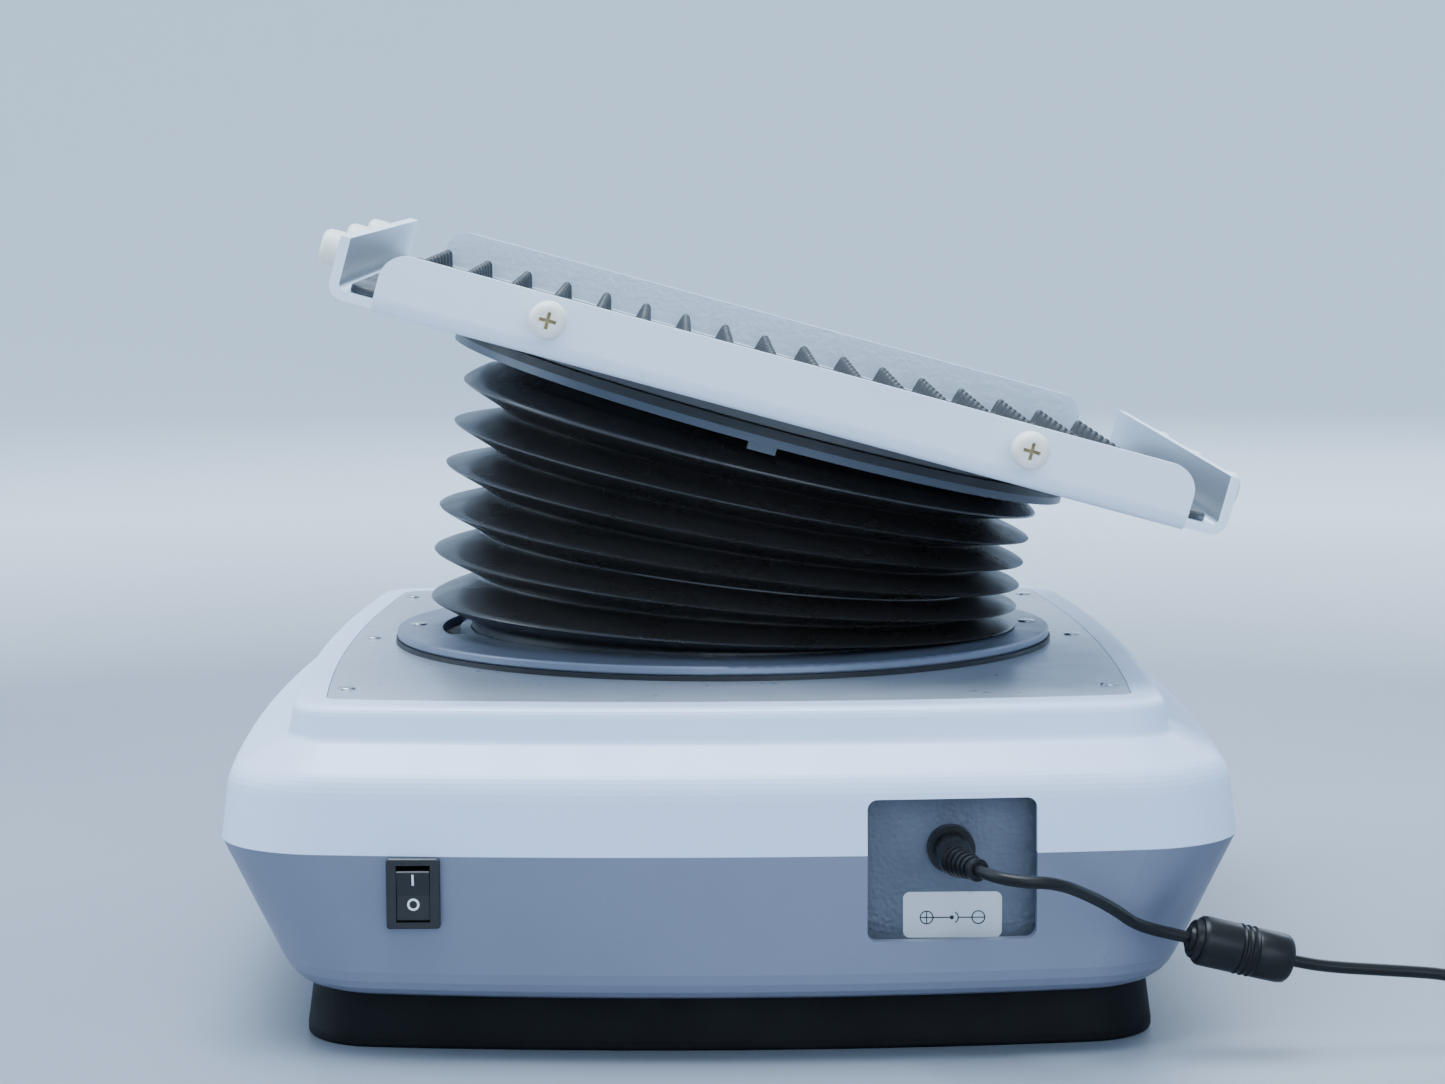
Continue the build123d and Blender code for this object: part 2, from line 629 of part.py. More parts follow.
with BuildPart() as mounting_disc:
    with BuildSketch(Plane.XY.offset(-DISC)):
        Circle(DISC_R)
        Circle(HUB_FLANGE_R + 1, mode=Mode.SUBTRACT)
        with Locations(*RING_BOLTS):
            Circle(TRAY_SCREW_R, mode=Mode.SUBTRACT)
    extrude(amount=DISC)
    chamfer(mounting_disc.edges().filter_by(GeomType.CIRCLE).sort_by(SortBy.RADIUS)[-2:], 0.6)
save(onto_tray(mounting_disc.part), "mounting_disc")

with BuildPart() as top_gasket:
    with BuildSketch(Plane.XY.offset(-DISC - TOP_GASKET)):
        Circle(TOP_RING_R)
        Circle(RING_BORE + 0.4, mode=Mode.SUBTRACT)
        with Locations(*RING_BOLTS):
            Circle(TRAY_SCREW_R, mode=Mode.SUBTRACT)
    extrude(amount=TOP_GASKET)
save(onto_tray(top_gasket.part), "top_gasket")

with BuildPart() as top_ring:
    with BuildSketch(Plane.XY.offset(-TOP_STACK)):
        Circle(TOP_RING_R)
        Circle(RING_BORE, mode=Mode.SUBTRACT)
        with Locations(*RING_BOLTS):
            Circle(TRAY_SCREW_R, mode=Mode.SUBTRACT)
    extrude(amount=TOP_RING)
    with BuildSketch(Plane.XY.offset(-TOP_STACK)):
        with PolarLocations(102, 3, 269.4):
            Rectangle(5, 9)
    extrude(amount=-2.5)
save(onto_tray(top_ring.part), "top_ring")

NOTCH = (TRAY - FLANGE_LENGTH) / 2
ACROSS_SCREWS = (-FLANGE_SCREW_PITCH, FLANGE_SCREW_PITCH)
ALONG_SCREWS = (-FLANGE_SCREW_PITCH, 0, FLANGE_SCREW_PITCH)
SCREW_GRIP = 2.0                 # blind thread in the flange sheet
# two screws in the rear flange and three in each side flange; the front flange has none
screw_planes = [
    Plane(origin=(x, -TRAY / 2, FLANGE_SCREW_H), x_dir=(1, 0, 0), z_dir=(0, -1, 0)) for x in ACROSS_SCREWS
] + [
    Plane(origin=(sign * TRAY / 2, y, FLANGE_SCREW_H), x_dir=(0, 1, 0), z_dir=(sign, 0, 0))
    for y in ALONG_SCREWS for sign in (-1, 1)
]
with BuildPart() as tray_pan:
    Box(TRAY, TRAY, FLANGE_TOP, align=(Align.CENTER, Align.CENTER, Align.MIN))
    fillet(tray_pan.edges().group_by(Axis.Z)[0], TRAY_BEND)
    with BuildPart(mode=Mode.PRIVATE) as inside:
        with Locations((0, 0, SHEET)):
            Box(TRAY - 2 * SHEET, TRAY - 2 * SHEET, FLANGE_TOP, align=(Align.CENTER, Align.CENTER, Align.MIN))
        fillet(inside.edges().group_by(Axis.Z)[0], TRAY_BEND - SHEET)
    add(inside.part, mode=Mode.SUBTRACT)
    with BuildSketch():
        with GridLocations(TRAY - NOTCH, TRAY - NOTCH, 2, 2):
            Rectangle(NOTCH, NOTCH)
    extrude(amount=FLANGE_TOP, mode=Mode.SUBTRACT)
    corners = tray_pan.edges().filter_by(Axis.Y).group_by(Axis.Z)[-1]
    fillet(corners.filter_by(lambda e: abs(abs(e.center().X) - FLANGE_LENGTH / 2) < 0.1), 8)
    with BuildSketch():
        with Locations(*HUB_SCREWS, *RING_BOLTS):
            Circle(TRAY_SCREW_R)
    extrude(amount=SHEET, mode=Mode.SUBTRACT)
    for plane in screw_planes:
        with BuildSketch(plane):
            Circle(TRAY_SCREW_R)
        extrude(amount=-SCREW_GRIP, mode=Mode.SUBTRACT)
save(onto_tray(tray_pan.part), "tray_pan")

with BuildPart() as tray_screws:
    with BuildSketch(Plane.XY.offset(-TOP_STACK)):
        with Locations(*RING_BOLTS):
            Circle(TRAY_SCREW_R)
    extrude(amount=TOP_STACK + SHEET)
    with BuildSketch(Plane.XY.offset(-HUB_FLANGE)):
        with Locations(*HUB_SCREWS):
            Circle(TRAY_SCREW_R)
    extrude(amount=HUB_FLANGE + SHEET)
save(onto_tray(tray_screws.part), "tray_screws")

MAT_SIZE = (268, 246)
PEG_ROWS = PEG_COUNT - 1
with BuildPart() as peg_mat:
    with BuildSketch(Plane.XY.offset(SHEET)):
        RectangleRounded(*MAT_SIZE, 6)
    extrude(amount=MAT)
    with GridLocations(PEG_PITCH, PEG_PITCH, PEG_COUNT, PEG_ROWS):
        with Locations((0, 0, SHEET + MAT)):
            Cone(2.8, 1.9, PEG_H, align=(Align.CENTER, Align.CENTER, Align.MIN))
save(onto_tray(peg_mat.part), "peg_mat")

HEAD_R, HEAD_H, HEAD_GAP = 5.65, 7.0, 3.0


def thumb_screw():
    """A nylon cross-head screw along +Z, the flange's outer face at z = 0."""
    with BuildPart() as screw:
        with Locations((0, 0, -SCREW_GRIP)):
            Cylinder(TRAY_SCREW_R, SCREW_GRIP + HEAD_GAP, align=(Align.CENTER, Align.CENTER, Align.MIN))
        with Locations((0, 0, HEAD_GAP)):
            Cylinder(HEAD_R, HEAD_H, align=(Align.CENTER, Align.CENTER, Align.MIN))
        widest = screw.edges().filter_by(GeomType.CIRCLE).sort_by(SortBy.RADIUS)[-2:]
        back_rim, front_rim = widest.sort_by(Axis.Z)
        fillet(front_rim, 2.4)
        fillet(back_rim, 0.9)
        with BuildSketch(Plane.XY.offset(HEAD_GAP + HEAD_H)):
            Rectangle(5.2, 1.1)
            Rectangle(1.1, 5.2)
        extrude(amount=-2.2, mode=Mode.SUBTRACT)
    return screw.part


one_screw = thumb_screw()
all_screws = Compound(children=[one_screw.moved(plane.location) for plane in screw_planes])
save(onto_tray(all_screws), "flange_screws")

# ---- rear side: rocker switch, inlet pocket, jack and label ----
BEZEL_FRONT, BEZEL_BACK, SWITCH_DEPTH = -178.2, -173.0, -158.0
ROCKER_PIVOT_Y = -172.4
ROCKER_OPENING = (9.8, 16.6)
ROCKER_WIDTH, ROCKER_REST = 9.4, 7.0
PIN_R = 1.0
rocker_centre = (SWITCH_AT[0], ROCKER_PIVOT_Y, SWITCH_AT[1])

with BuildPart() as switch_body:
    face_plane = Plane(origin=(SWITCH_AT[0], BEZEL_BACK, SWITCH_AT[1]), x_dir=(1, 0, 0), z_dir=(0, -1, 0))
    with BuildSketch(face_plane):
        RectangleRounded(*SWITCH_BEZEL, 1)
    extrude(amount=BEZEL_BACK - BEZEL_FRONT)
    fillet(switch_body.faces().sort_by(Axis.Y)[0].edges(), 0.6)
    add(lower_block, mode=Mode.SUBTRACT)
    with BuildSketch(face_plane.offset(BEZEL_BACK - BEZEL_FRONT - 0.5)):
        RectangleRounded(*SWITCH_BODY, SWITCH_CORNER)
    extrude(amount=BEZEL_FRONT + 0.5 - SWITCH_DEPTH)
    with BuildSketch(face_plane.offset(BEZEL_BACK - BEZEL_FRONT)):
        Rectangle(*ROCKER_OPENING)
    extrude(amount=-11, mode=Mode.SUBTRACT)
    with Locations(Location(rocker_centre, (0, 90, 0))):
        Cylinder(PIN_R + RUNNING, SWITCH_BODY[0] - 1.5, mode=Mode.SUBTRACT)
save(switch_body.part, "switch_body")

with BuildPart() as rocker:
    with BuildSketch(Plane(origin=rocker_centre, x_dir=(0, 0, 1), z_dir=(1, 0, 0))):
        with BuildLine():
            Polyline(
                (-4, -3), (4, -3), (7.5, 3.2), (7.5, 5.9), (0, 4.9), (-7.5, 5.9), (-7.5, 3.2), close=True,
            )
        make_face()
    extrude(amount=ROCKER_WIDTH / 2, both=True)
    fillet(rocker.edges().filter_by(Axis.X).group_by(Axis.Y)[0], 0.5)
    with Locations(Location(rocker_centre, (0, 90, 0))):
        Cylinder(PIN_R, SWITCH_BODY[0] - 2)
pressed = Axis(rocker_centre, (1, 0, 0))
save(rocker.part.rotate(pressed, ROCKER_REST), "rocker")

POCKET_WALL = 2.0
with BuildPart() as inlet_pocket:
    inner_x, inner_z = (POCKET_X[0] - 1, POCKET_X[1] + 1), (POCKET_Z[0] - 2.5, POCKET_Z[1] + 1)
    grown = [(low - POCKET_WALL, high + POCKET_WALL) for low, high in (inner_x, inner_z)]
    add(rear_opening(*grown, 4, (-185, POCKET_BACK + POCKET_WALL)))
    add(rear_opening(inner_x, inner_z, 3, (-186, POCKET_BACK)), mode=Mode.SUBTRACT)
    add(lower_cavity + upper_cavity, mode=Mode.INTERSECT)
    with Locations(Location((JACK_AT[0], POCKET_BACK, JACK_AT[1]), (90, 0, 0))):
        Cylinder(6, 20, mode=Mode.SUBTRACT)
save(inlet_pocket.part, "inlet_pocket")

JACK_FACE = POCKET_BACK - 4.0
SLEEVE_R, SLEEVE_BORE, CENTRE_PIN_R = 2.75, 1.25, 1.0


def turned(profile, x=JACK_AT[0], z=JACK_AT[1]):
    """A piece turned about the line along Y through x, z: the profile is (radius, y) points."""
    with BuildPart() as piece:
        with BuildSketch(Plane(origin=(x, 0, z), x_dir=(1, 0, 0), z_dir=(0, 0, 1))):
            with BuildLine():
                Polyline(*profile, close=True)
            make_face()
        revolve(axis=Axis((x, 0, z), (0, 1, 0)))
    return piece.part


jack_shell = turned([(SLEEVE_R + 0.1, JACK_FACE), (7, JACK_FACE), (7, POCKET_BACK), (6, POCKET_BACK),
                     (6, -150), (0, -150), (0, -153), (SLEEVE_R + 0.1, -153)])
jack_pin = turned([(0, -153), (CENTRE_PIN_R, -153), (CENTRE_PIN_R, JACK_FACE + 1), (0, JACK_FACE + 1)])
save(jack_shell + jack_pin, "dc_jack")

with BuildPart() as jack_nut:
    with BuildSketch(Plane(origin=(JACK_AT[0], POCKET_BACK + POCKET_WALL, JACK_AT[1]), z_dir=(0, 1, 0))):
        RegularPolygon(8, 6)
        Circle(6, mode=Mode.SUBTRACT)
    extrude(amount=3)
save(jack_nut.part, "jack_nut")

LABEL_X, LABEL_Z = (50.3, 79.3), (34.2, 47.8)
save(rear_opening(LABEL_X, LABEL_Z, 2, (POCKET_BACK - 0.3, POCKET_BACK)), "inlet_label")

# ---- operator's side: panel, display, knobs and key ----
PANEL_DEPTH, PANEL_SKIN, PANEL_RIM = 15.0, 3.0, 2.5
PANEL_BACK = PANEL_FRONT - PANEL_SKIN
WINDOW_X, WINDOW_Z = (6.0, 74.0), (46.0, 73.0)
BUSH_R, STEM_R = 3.5, 3.0
KEY_R = 5.6

with BuildPart() as control_panel:
    add(rear_opening(PANEL_X, PANEL_Z, 6, (PANEL_FRONT - PANEL_DEPTH, PANEL_FRONT)))
    fillet(control_panel.faces().sort_by(Axis.Y)[-1].edges(), 1.5)
    hollow_x, hollow_z = ((low + PANEL_RIM, high - PANEL_RIM) for low, high in (PANEL_X, PANEL_Z))
    add(rear_opening(hollow_x, hollow_z, 4, (PANEL_FRONT - PANEL_DEPTH - 1, PANEL_BACK)), mode=Mode.SUBTRACT)
    add(rear_opening(WINDOW_X, WINDOW_Z, 1.5, (PANEL_BACK - 1, PANEL_FRONT + 1)), mode=Mode.SUBTRACT)
    for x, r in [(x, BUSH_R) for x in KNOBS.values()] + [(KEY_X, KEY_R + CLEAR)]:
        with Locations(Location((x, PANEL_FRONT, KNOB_Z), (90, 0, 0))):
            Cylinder(r, 12, mode=Mode.SUBTRACT)
save(control_panel.part, "control_panel")

save(rear_opening(WINDOW_X, WINDOW_Z, 1.5, (PANEL_FRONT - 2, PANEL_FRONT - 0.4)), "display_window")
DISPLAY_X, DISPLAY_Z = (2.0, 78.0), (43.0, 76.0)
save(rear_opening(DISPLAY_X, DISPLAY_Z, 1, (PANEL_BACK - 7, PANEL_BACK)), "display_module")

encoders = []
for name, x in KNOBS.items():
    bore_r = STEM_R + RUNNING
    bush = turned([(bore_r, 168), (BUSH_R, 168), (BUSH_R, 183.5), (bore_r, 183.5)], x, KNOB_Z)
    box_x, box_z = (x - 7, x + 7), (KNOB_Z - 7, KNOB_Z + 7)
    body = rear_opening(box_x, box_z, 1, (167, PANEL_BACK))
    bore = turned([(0, 168), (bore_r, 168), (bore_r, 184), (0, 184)], x, KNOB_Z)
    encoders.append(body - bore + bush)
    skirt, crown, floor, stem_end = 11.5, 9.8, PANEL_FRONT + 3.2, 169
    with BuildPart() as knob:
        add(turned([
            (0, stem_end), (STEM_R, stem_end), (STEM_R, floor), (BUSH_R + 1, floor),
            (BUSH_R + 1, PANEL_FRONT + 0.4), (skirt, PANEL_FRONT + 0.4), (skirt, PANEL_FRONT + 3),
            (crown, PANEL_FRONT + 5), (crown - 0.6, 195.5), (crown - 1.8, 196.5), (0, 196.5),
        ], x, KNOB_Z))
        with Locations((x, 196.5, KNOB_Z + crown - 3.6)):
            Box(1.2, 1.2, 5, mode=Mode.SUBTRACT)
    save(knob.part, f"{name}_knob")

save(Compound(children=encoders), "encoders")

KEY_TRAVEL = 1.0
start_key = turned([(0, 174), (KEY_R + 1.4, 174), (KEY_R + 1.4, 175.5), (KEY_R, 175.5),
                    (KEY_R, 182.6), (KEY_R - 0.8, 183.2), (0, 183.2)], KEY_X, KNOB_Z)
save(start_key, "start_key")
KEY_SWITCH_X, KEY_SWITCH_Z = (KEY_X - 6, KEY_X + 6), (KNOB_Z - 6, KNOB_Z + 6)
save(rear_opening(KEY_SWITCH_X, KEY_SWITCH_Z, 1, (167.5, 174 - KEY_TRAVEL - CLEAR)), "key_switch")

# ---- supply lead: plug, tubes, ferrite, coil and adapter ----
CORD = 3.6
PLUG_FACE = JACK_FACE - 0.1
PLUG_BODY_R, PLUG_BODY_END = 5.3, -184.0
BOOT_LENGTH, BOOT_TURN = 13.0, 22.0

plug_start = Vector(JACK_AT[0], PLUG_BODY_END, JACK_AT[1])
boot_way = Vector(sin(radians(BOOT_TURN)), -cos(radians(BOOT_TURN)), -0.03).normalized()
sleeve = turned([(SLEEVE_BORE, -157), (SLEEVE_R, -157), (SLEEVE_R, PLUG_FACE), (SLEEVE_BORE, PLUG_FACE)])
overmould = turned([(0, PLUG_FACE), (PLUG_BODY_R, PLUG_FACE), (PLUG_BODY_R, -180), (4.4, PLUG_BODY_END),
                    (0, PLUG_BODY_END)])
pin_space = turned([(0, -157), (SLEEVE_BORE, -157), (SLEEVE_BORE, PLUG_FACE - 0.5), (0, PLUG_FACE - 0.5)])
with BuildPart() as boot:
    for share, radius in ((-0.08, 4.3), (1, 2.9)):
        with BuildSketch(Plane(origin=plug_start + boot_way * BOOT_LENGTH * share, z_dir=boot_way)):
            Circle(radius)
    loft()
save(overmould - pin_space + sleeve + boot.part, "dc_plug")

FERRITE_R = 7.3
LEAD_TO_FERRITE = [
    (69.07, -196.05, 60.61), (72.44, -204.39, 60.34), (80.4, -208.9, 59.7), (91.0, -207.4, 59.0),
    (102.0, -196.0, 52.5), (110.0, -188.0, 46.8), (117.2, -178.3, 40.3), (132.5, -176.0, 36.3),
]
LEAD_TO_COIL = [
    (162.4, -171.5, 28.5), (173.5, -169.9, 26.0), (191.8, -168.0, 24.4), (211.5, -166.0, 22.6),
    (229.0, -166.5, 16.5), (243.0, -168.5, 10.5), (256.0, -171.0, 9.0),
]
LEAD_TAIL = [
    (286.0, -148.0, 5.4), (286.5, -137.0, 6.0), (284.5, -126.0, 9.5),
    (282.0, -116.0, 14.5), (281.0, -106.0, 16.0),
]
FERRITE_START, FERRITE_END = Vector(*LEAD_TO_FERRITE[-1]), Vector(*LEAD_TO_COIL[0])


def lead_tube(points, name):
    """A round tube along straight runs joined by arcs as large as the runs allow."""
    points = [Vector(*p) for p in points]
    runs = [b - a for a, b in zip(points, points[1:])]
    radii = []
    for before, after in zip(runs, runs[1:]):
        turn = radians(before.get_angle(after))
        radii.append(0.45 * min(before.length, after.length) / tan(turn / 2))
    with BuildPart() as tube:
        with BuildLine() as path:
            FilletPolyline(*points, radius=radii)
        with BuildSketch(Plane(origin=points[0], z_dir=runs[0])):
            Circle(CORD / 2)
        sweep(path=path.wires()[0])
    length = path.wires()[0].length
    ratio = tube.part.volume / (length * pi * CORD**2 / 4)
    print(name, "length", round(length, 1), "volume ratio", round(ratio, 4))
    print("radii", [round(r, 1) for r in radii])
    save(tube.part, name)


lead_tube(LEAD_TO_FERRITE, "lead_to_ferrite")
lead_tube(LEAD_TO_COIL, "lead_to_coil")
lead_tube(LEAD_TAIL, "lead_tail")

with BuildPart() as ferrite_bead:
    with BuildSketch(Plane(origin=FERRITE_START, z_dir=FERRITE_END - FERRITE_START)):
        Circle(FERRITE_R)
    extrude(amount=(FERRITE_END - FERRITE_START).length)
    fillet(ferrite_bead.edges().filter_by(GeomType.CIRCLE), 1.6)
save(ferrite_bead.part, "ferrite_bead")

COIL_AT = (262.0, -150.0)
COIL_RADII = (14.8, 26.2)
COIL_HEIGHT = 10.4
with BuildPart() as lead_coil:
    with BuildSketch(Plane.XY):
        with Locations(COIL_AT):
            Circle(COIL_RADII[1])
            Circle(COIL_RADII[0], mode=Mode.SUBTRACT)
    extrude(amount=COIL_HEIGHT)
    fillet(lead_coil.edges(), 2.5)
save(lead_coil.part, "lead_coil")

ADAPTER_X, ADAPTER_Y, ADAPTER_Z = (256.0, 306.0), (-91.0, 19.0), (0.0, 32.0)
ADAPTER_SPLIT = 17.0
adapter_middle = ((ADAPTER_X[0] + ADAPTER_X[1]) / 2, (ADAPTER_Y[0] + ADAPTER_Y[1]) / 2)
adapter_size = (ADAPTER_X[1] - ADAPTER_X[0], ADAPTER_Y[1] - ADAPTER_Y[0])
MAINS_X, MAINS_Z = (271.0, 291.0), (11.5, 20.5)
MAINS_DEPTH, MAINS_WALL = 14.0, 1.9
MAINS_PINS = (277.4, 284.6)
inlet_cut = rear_opening(MAINS_X, MAINS_Z, 4, (ADAPTER_Y[1] - MAINS_DEPTH, ADAPTER_Y[1] + 1))
for name, low, high in (("adapter_base", 0.0, ADAPTER_SPLIT), ("adapter_cover", ADAPTER_SPLIT, ADAPTER_Z[1])):
    with BuildPart() as half:
        with BuildSketch(Plane.XY.offset(low)):
            with Locations(adapter_middle):
                RectangleRounded(*adapter_size, 6)
        extrude(amount=high - low)
        outer_edges = half.edges().group_by(Axis.Z)[0 if low == 0 else -1]
        fillet(outer_edges, 2.5)
        with Locations((*adapter_middle, ADAPTER_SPLIT)):
            Box(adapter_size[0] - 5, adapter_size[1] - 32, (high - low - 2.5) * 2, mode=Mode.SUBTRACT)
        add(inlet_cut, mode=Mode.SUBTRACT)
    save(half.part, name)

with BuildPart() as adapter_inlet:
    add(rear_opening(MAINS_X, MAINS_Z, 4, (ADAPTER_Y[1] - MAINS_DEPTH, ADAPTER_Y[1])))
    socket_x, socket_z = ((low + MAINS_WALL, high - MAINS_WALL) for low, high in (MAINS_X, MAINS_Z))
    add(rear_opening(socket_x, socket_z, 2.5, (ADAPTER_Y[1] - 12, ADAPTER_Y[1] + 1)), mode=Mode.SUBTRACT)
    for x in MAINS_PINS:
        with Locations(Location((x, ADAPTER_Y[1] - 7.5, 16), (90, 0, 0))):
            Cylinder(1.1, 10)
save(adapter_inlet.part, "adapter_inlet")

BOOT_END = LEAD_TAIL[-1][1]
boot_profile = [(0, BOOT_END), (3.2, BOOT_END), (4.6, ADAPTER_Y[0]), (0, ADAPTER_Y[0])]
adapter_boot = turned(boot_profile, LEAD_TAIL[-1][0], LEAD_TAIL[-1][2])
save(adapter_boot, "adapter_boot")
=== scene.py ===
"""Looks for the nutating platform shaker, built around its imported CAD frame. Metres, +Z up."""
import json
from math import asin, cos, pi, radians, sin, sqrt

import bpy
from mathutils import Matrix, Vector


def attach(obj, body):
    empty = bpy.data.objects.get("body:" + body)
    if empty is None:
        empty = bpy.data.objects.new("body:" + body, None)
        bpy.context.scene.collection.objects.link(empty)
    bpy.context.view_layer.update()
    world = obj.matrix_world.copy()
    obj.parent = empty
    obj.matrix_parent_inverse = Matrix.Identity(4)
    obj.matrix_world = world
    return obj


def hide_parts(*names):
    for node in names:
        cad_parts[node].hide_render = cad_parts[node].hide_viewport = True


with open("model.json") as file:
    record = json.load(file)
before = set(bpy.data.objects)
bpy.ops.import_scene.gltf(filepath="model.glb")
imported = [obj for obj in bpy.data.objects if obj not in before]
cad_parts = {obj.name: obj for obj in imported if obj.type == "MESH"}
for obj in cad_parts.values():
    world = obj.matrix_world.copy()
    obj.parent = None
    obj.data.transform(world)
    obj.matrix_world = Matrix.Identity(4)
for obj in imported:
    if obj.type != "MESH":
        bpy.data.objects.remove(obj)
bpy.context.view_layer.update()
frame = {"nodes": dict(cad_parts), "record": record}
nodes = frame["nodes"]
MM = 0.001


# ---- the tray's pose at rest, and the bellows' levels ----
TILT_X, TILT_Y = radians(15.37), radians(1.44)
NORMAL = Vector((sin(TILT_X), -sin(TILT_Y) * cos(TILT_X), cos(TILT_Y) * cos(TILT_X)))
ACROSS = Vector((cos(TILT_X), sin(TILT_Y) * sin(TILT_X), -cos(TILT_Y) * sin(TILT_X)))
ALONG = NORMAL.cross(ACROSS)
PIVOT = Vector((0, 0, 133.7 * MM))
TRAY_H = 56.3 * MM                     # from the pivot to the tray's underside, along NORMAL
TRAY_CENTRE = PIVOT + NORMAL * TRAY_H
TILT = asin(sqrt(NORMAL.x**2 + NORMAL.y**2))
DOWNHILL = Vector((NORMAL.x, NORMAL.y, 0)).normalized()
TRAY_FRAME = Matrix.Translation(TRAY_CENTRE) @ Matrix((ACROSS, ALONG, NORMAL)).transposed().to_4x4()


# ---- camera ----
def set_camera():
    """The camera stands low behind the rear side, turned slightly towards +X."""
    pitch, yaw, roll = 0.0963, -0.0132, -0.0039
    right = Vector((cos(yaw), sin(yaw), 0))
    ahead = Vector((-sin(yaw) * cos(pitch), cos(yaw) * cos(pitch), -sin(pitch)))
    up = right.cross(ahead)
    right, up = cos(roll) * right + sin(roll) * up, cos(roll) * up - sin(roll) * right
    data = bpy.data.cameras.new("camera")
    data.sensor_fit, data.sensor_width, data.lens = "HORIZONTAL", 36.0, 79.74
    camera = bpy.data.objects.new("camera", data)
    turn = Matrix((right, up, -ahead)).transposed().to_4x4()
    camera.matrix_world = Matrix.Translation((-0.01442, -1.08723, 0.2403)) @ turn
    bpy.context.scene.collection.objects.link(camera)
    bpy.context.scene.camera = camera


set_camera()


# ---- materials ----
class Shader:
    """A Principled material with a few helpers that add nodes to it."""

    def __init__(self, name, colour, roughness, metallic=0.0, **sockets):
        self.material = bpy.data.materials.new(name)
        self.material.use_nodes = True
        self.tree = self.material.node_tree
        self.bsdf = next(n for n in self.tree.nodes if n.type == "BSDF_PRINCIPLED")
        self.place = self.node("ShaderNodeTexCoord").outputs["Object"]
        self.colour = None
        self.height = None
        self.bsdf.inputs["Base Color"].default_value = (*colour, 1)
        self.bsdf.inputs["Roughness"].default_value = roughness
        self.bsdf.inputs["Metallic"].default_value = metallic
        for key, value in sockets.items():
            self.bsdf.inputs[key.replace("_", " ")].default_value = value

    def node(self, kind, **settings):
        node = self.tree.nodes.new(kind)
        for key, value in settings.items():
            setattr(node, key, value)
        return node

    def link(self, source, target):
        self.tree.links.new(source, target)

    def math(self, operation, *values):
        node = self.node("ShaderNodeMath", operation=operation)
        for socket, value in zip(node.inputs, values):
            if isinstance(value, (int, float)):
                socket.default_value = value
            else:
                self.link(value, socket)
        return node.outputs[0]

    def noise(self, scale, detail=3.0, stretch=None, rough=0.5):
        """Noise over the object, scale in features per metre; stretch scales each axis."""
        place = self.place
        if stretch:
            mapping = self.node("ShaderNodeMapping")
            mapping.inputs["Scale"].default_value = stretch
            self.link(place, mapping.inputs["Vector"])
            place = mapping.outputs[0]
        node = self.node("ShaderNodeTexNoise")
        node.inputs["Scale"].default_value = scale
        node.inputs["Detail"].default_value = detail
        node.inputs["Roughness"].default_value = rough
        self.link(place, node.inputs["Vector"])
        return node.outputs["Fac"]

    def cells(self, scale):
        node = self.node("ShaderNodeTexVoronoi", feature="SMOOTH_F1")
        node.inputs["Scale"].default_value = scale
        self.link(self.place, node.inputs["Vector"])
        return node.outputs["Distance"]

    def ramp(self, value, low, high, out_low=0.0, out_high=1.0):
        node = self.node("ShaderNodeMapRange")
        for key, number in (("From Min", low), ("From Max", high), ("To Min", out_low), ("To Max", out_high)):
            node.inputs[key].default_value = number
        self.link(value, node.inputs["Value"])
        return node.outputs[0]

    def tint(self, factor, colour_a, colour_b):
        """Base colour from a to b by a factor; a None stands for the colour so far."""
        node = self.node("ShaderNodeMix", data_type="RGBA")
        self.link(factor, node.inputs["Factor"])
        for socket, colour in ((node.inputs["A"], colour_a), (node.inputs["B"], colour_b)):
            if colour is None:
                self.link(self.colour, socket)
            else:
                socket.default_value = (*colour, 1)
        self.colour = node.outputs["Result"]
        self.link(self.colour, self.bsdf.inputs["Base Color"])

    def rough(self, factor, low, high):
        self.link(self.ramp(factor, 0.3, 0.7, low, high), self.bsdf.inputs["Roughness"])

    def bump(self, height, strength, distance):
        node = self.node("ShaderNodeBump")
        node.inputs["Strength"].default_value = strength
        node.inputs["Distance"].default_value = distance
        self.link(height, node.inputs["Height"])
        if self.height is not None:
            self.link(self.height, node.inputs["Normal"])
        self.height = node.outputs[0]
        self.link(self.height, self.bsdf.inputs["Normal"])


def shade(colour, by):
    return tuple(min(c * by, 1.0) for c in colour)


def plastic(name, colour, roughness, grain=0.25, cell=1400, variation=0.05, **sockets):
    """Moulded plastic: fine spark-eroded grain, faint cloudy shade and handled gloss."""
    s = Shader(name, colour, roughness, **sockets)
    s.tint(s.ramp(s.noise(22, 4), 0.35, 0.65), shade(colour, 1 - variation), shade(colour, 1 + variation))
    s.rough(s.noise(60, 5), roughness * 0.85, roughness * 1.2)
    s.bump(s.noise(cell, 2), grain, 0.00006)
    return s.material


def paint(name, colour, roughness, metallic=0.0, grain=0.3, cell=900, flake=0.0, **sockets):
    """Sprayed or powder paint: orange-peel texture, and metal flake where it has any."""
    s = Shader(name, colour, roughness, metallic, **sockets)
    s.tint(s.ramp(s.noise(14, 3), 0.3, 0.7), shade(colour, 0.96), shade(colour, 1.04))
    if flake:
        spark = s.ramp(s.noise(5200, 1), 0.52, 0.72)
        s.tint(s.math("MULTIPLY", spark, flake), None, shade(colour, 1.7))
    s.rough(s.noise(90, 4), roughness * 0.85, roughness * 1.15)
    s.bump(s.noise(cell, 3), grain, 0.00012)
    return s.material


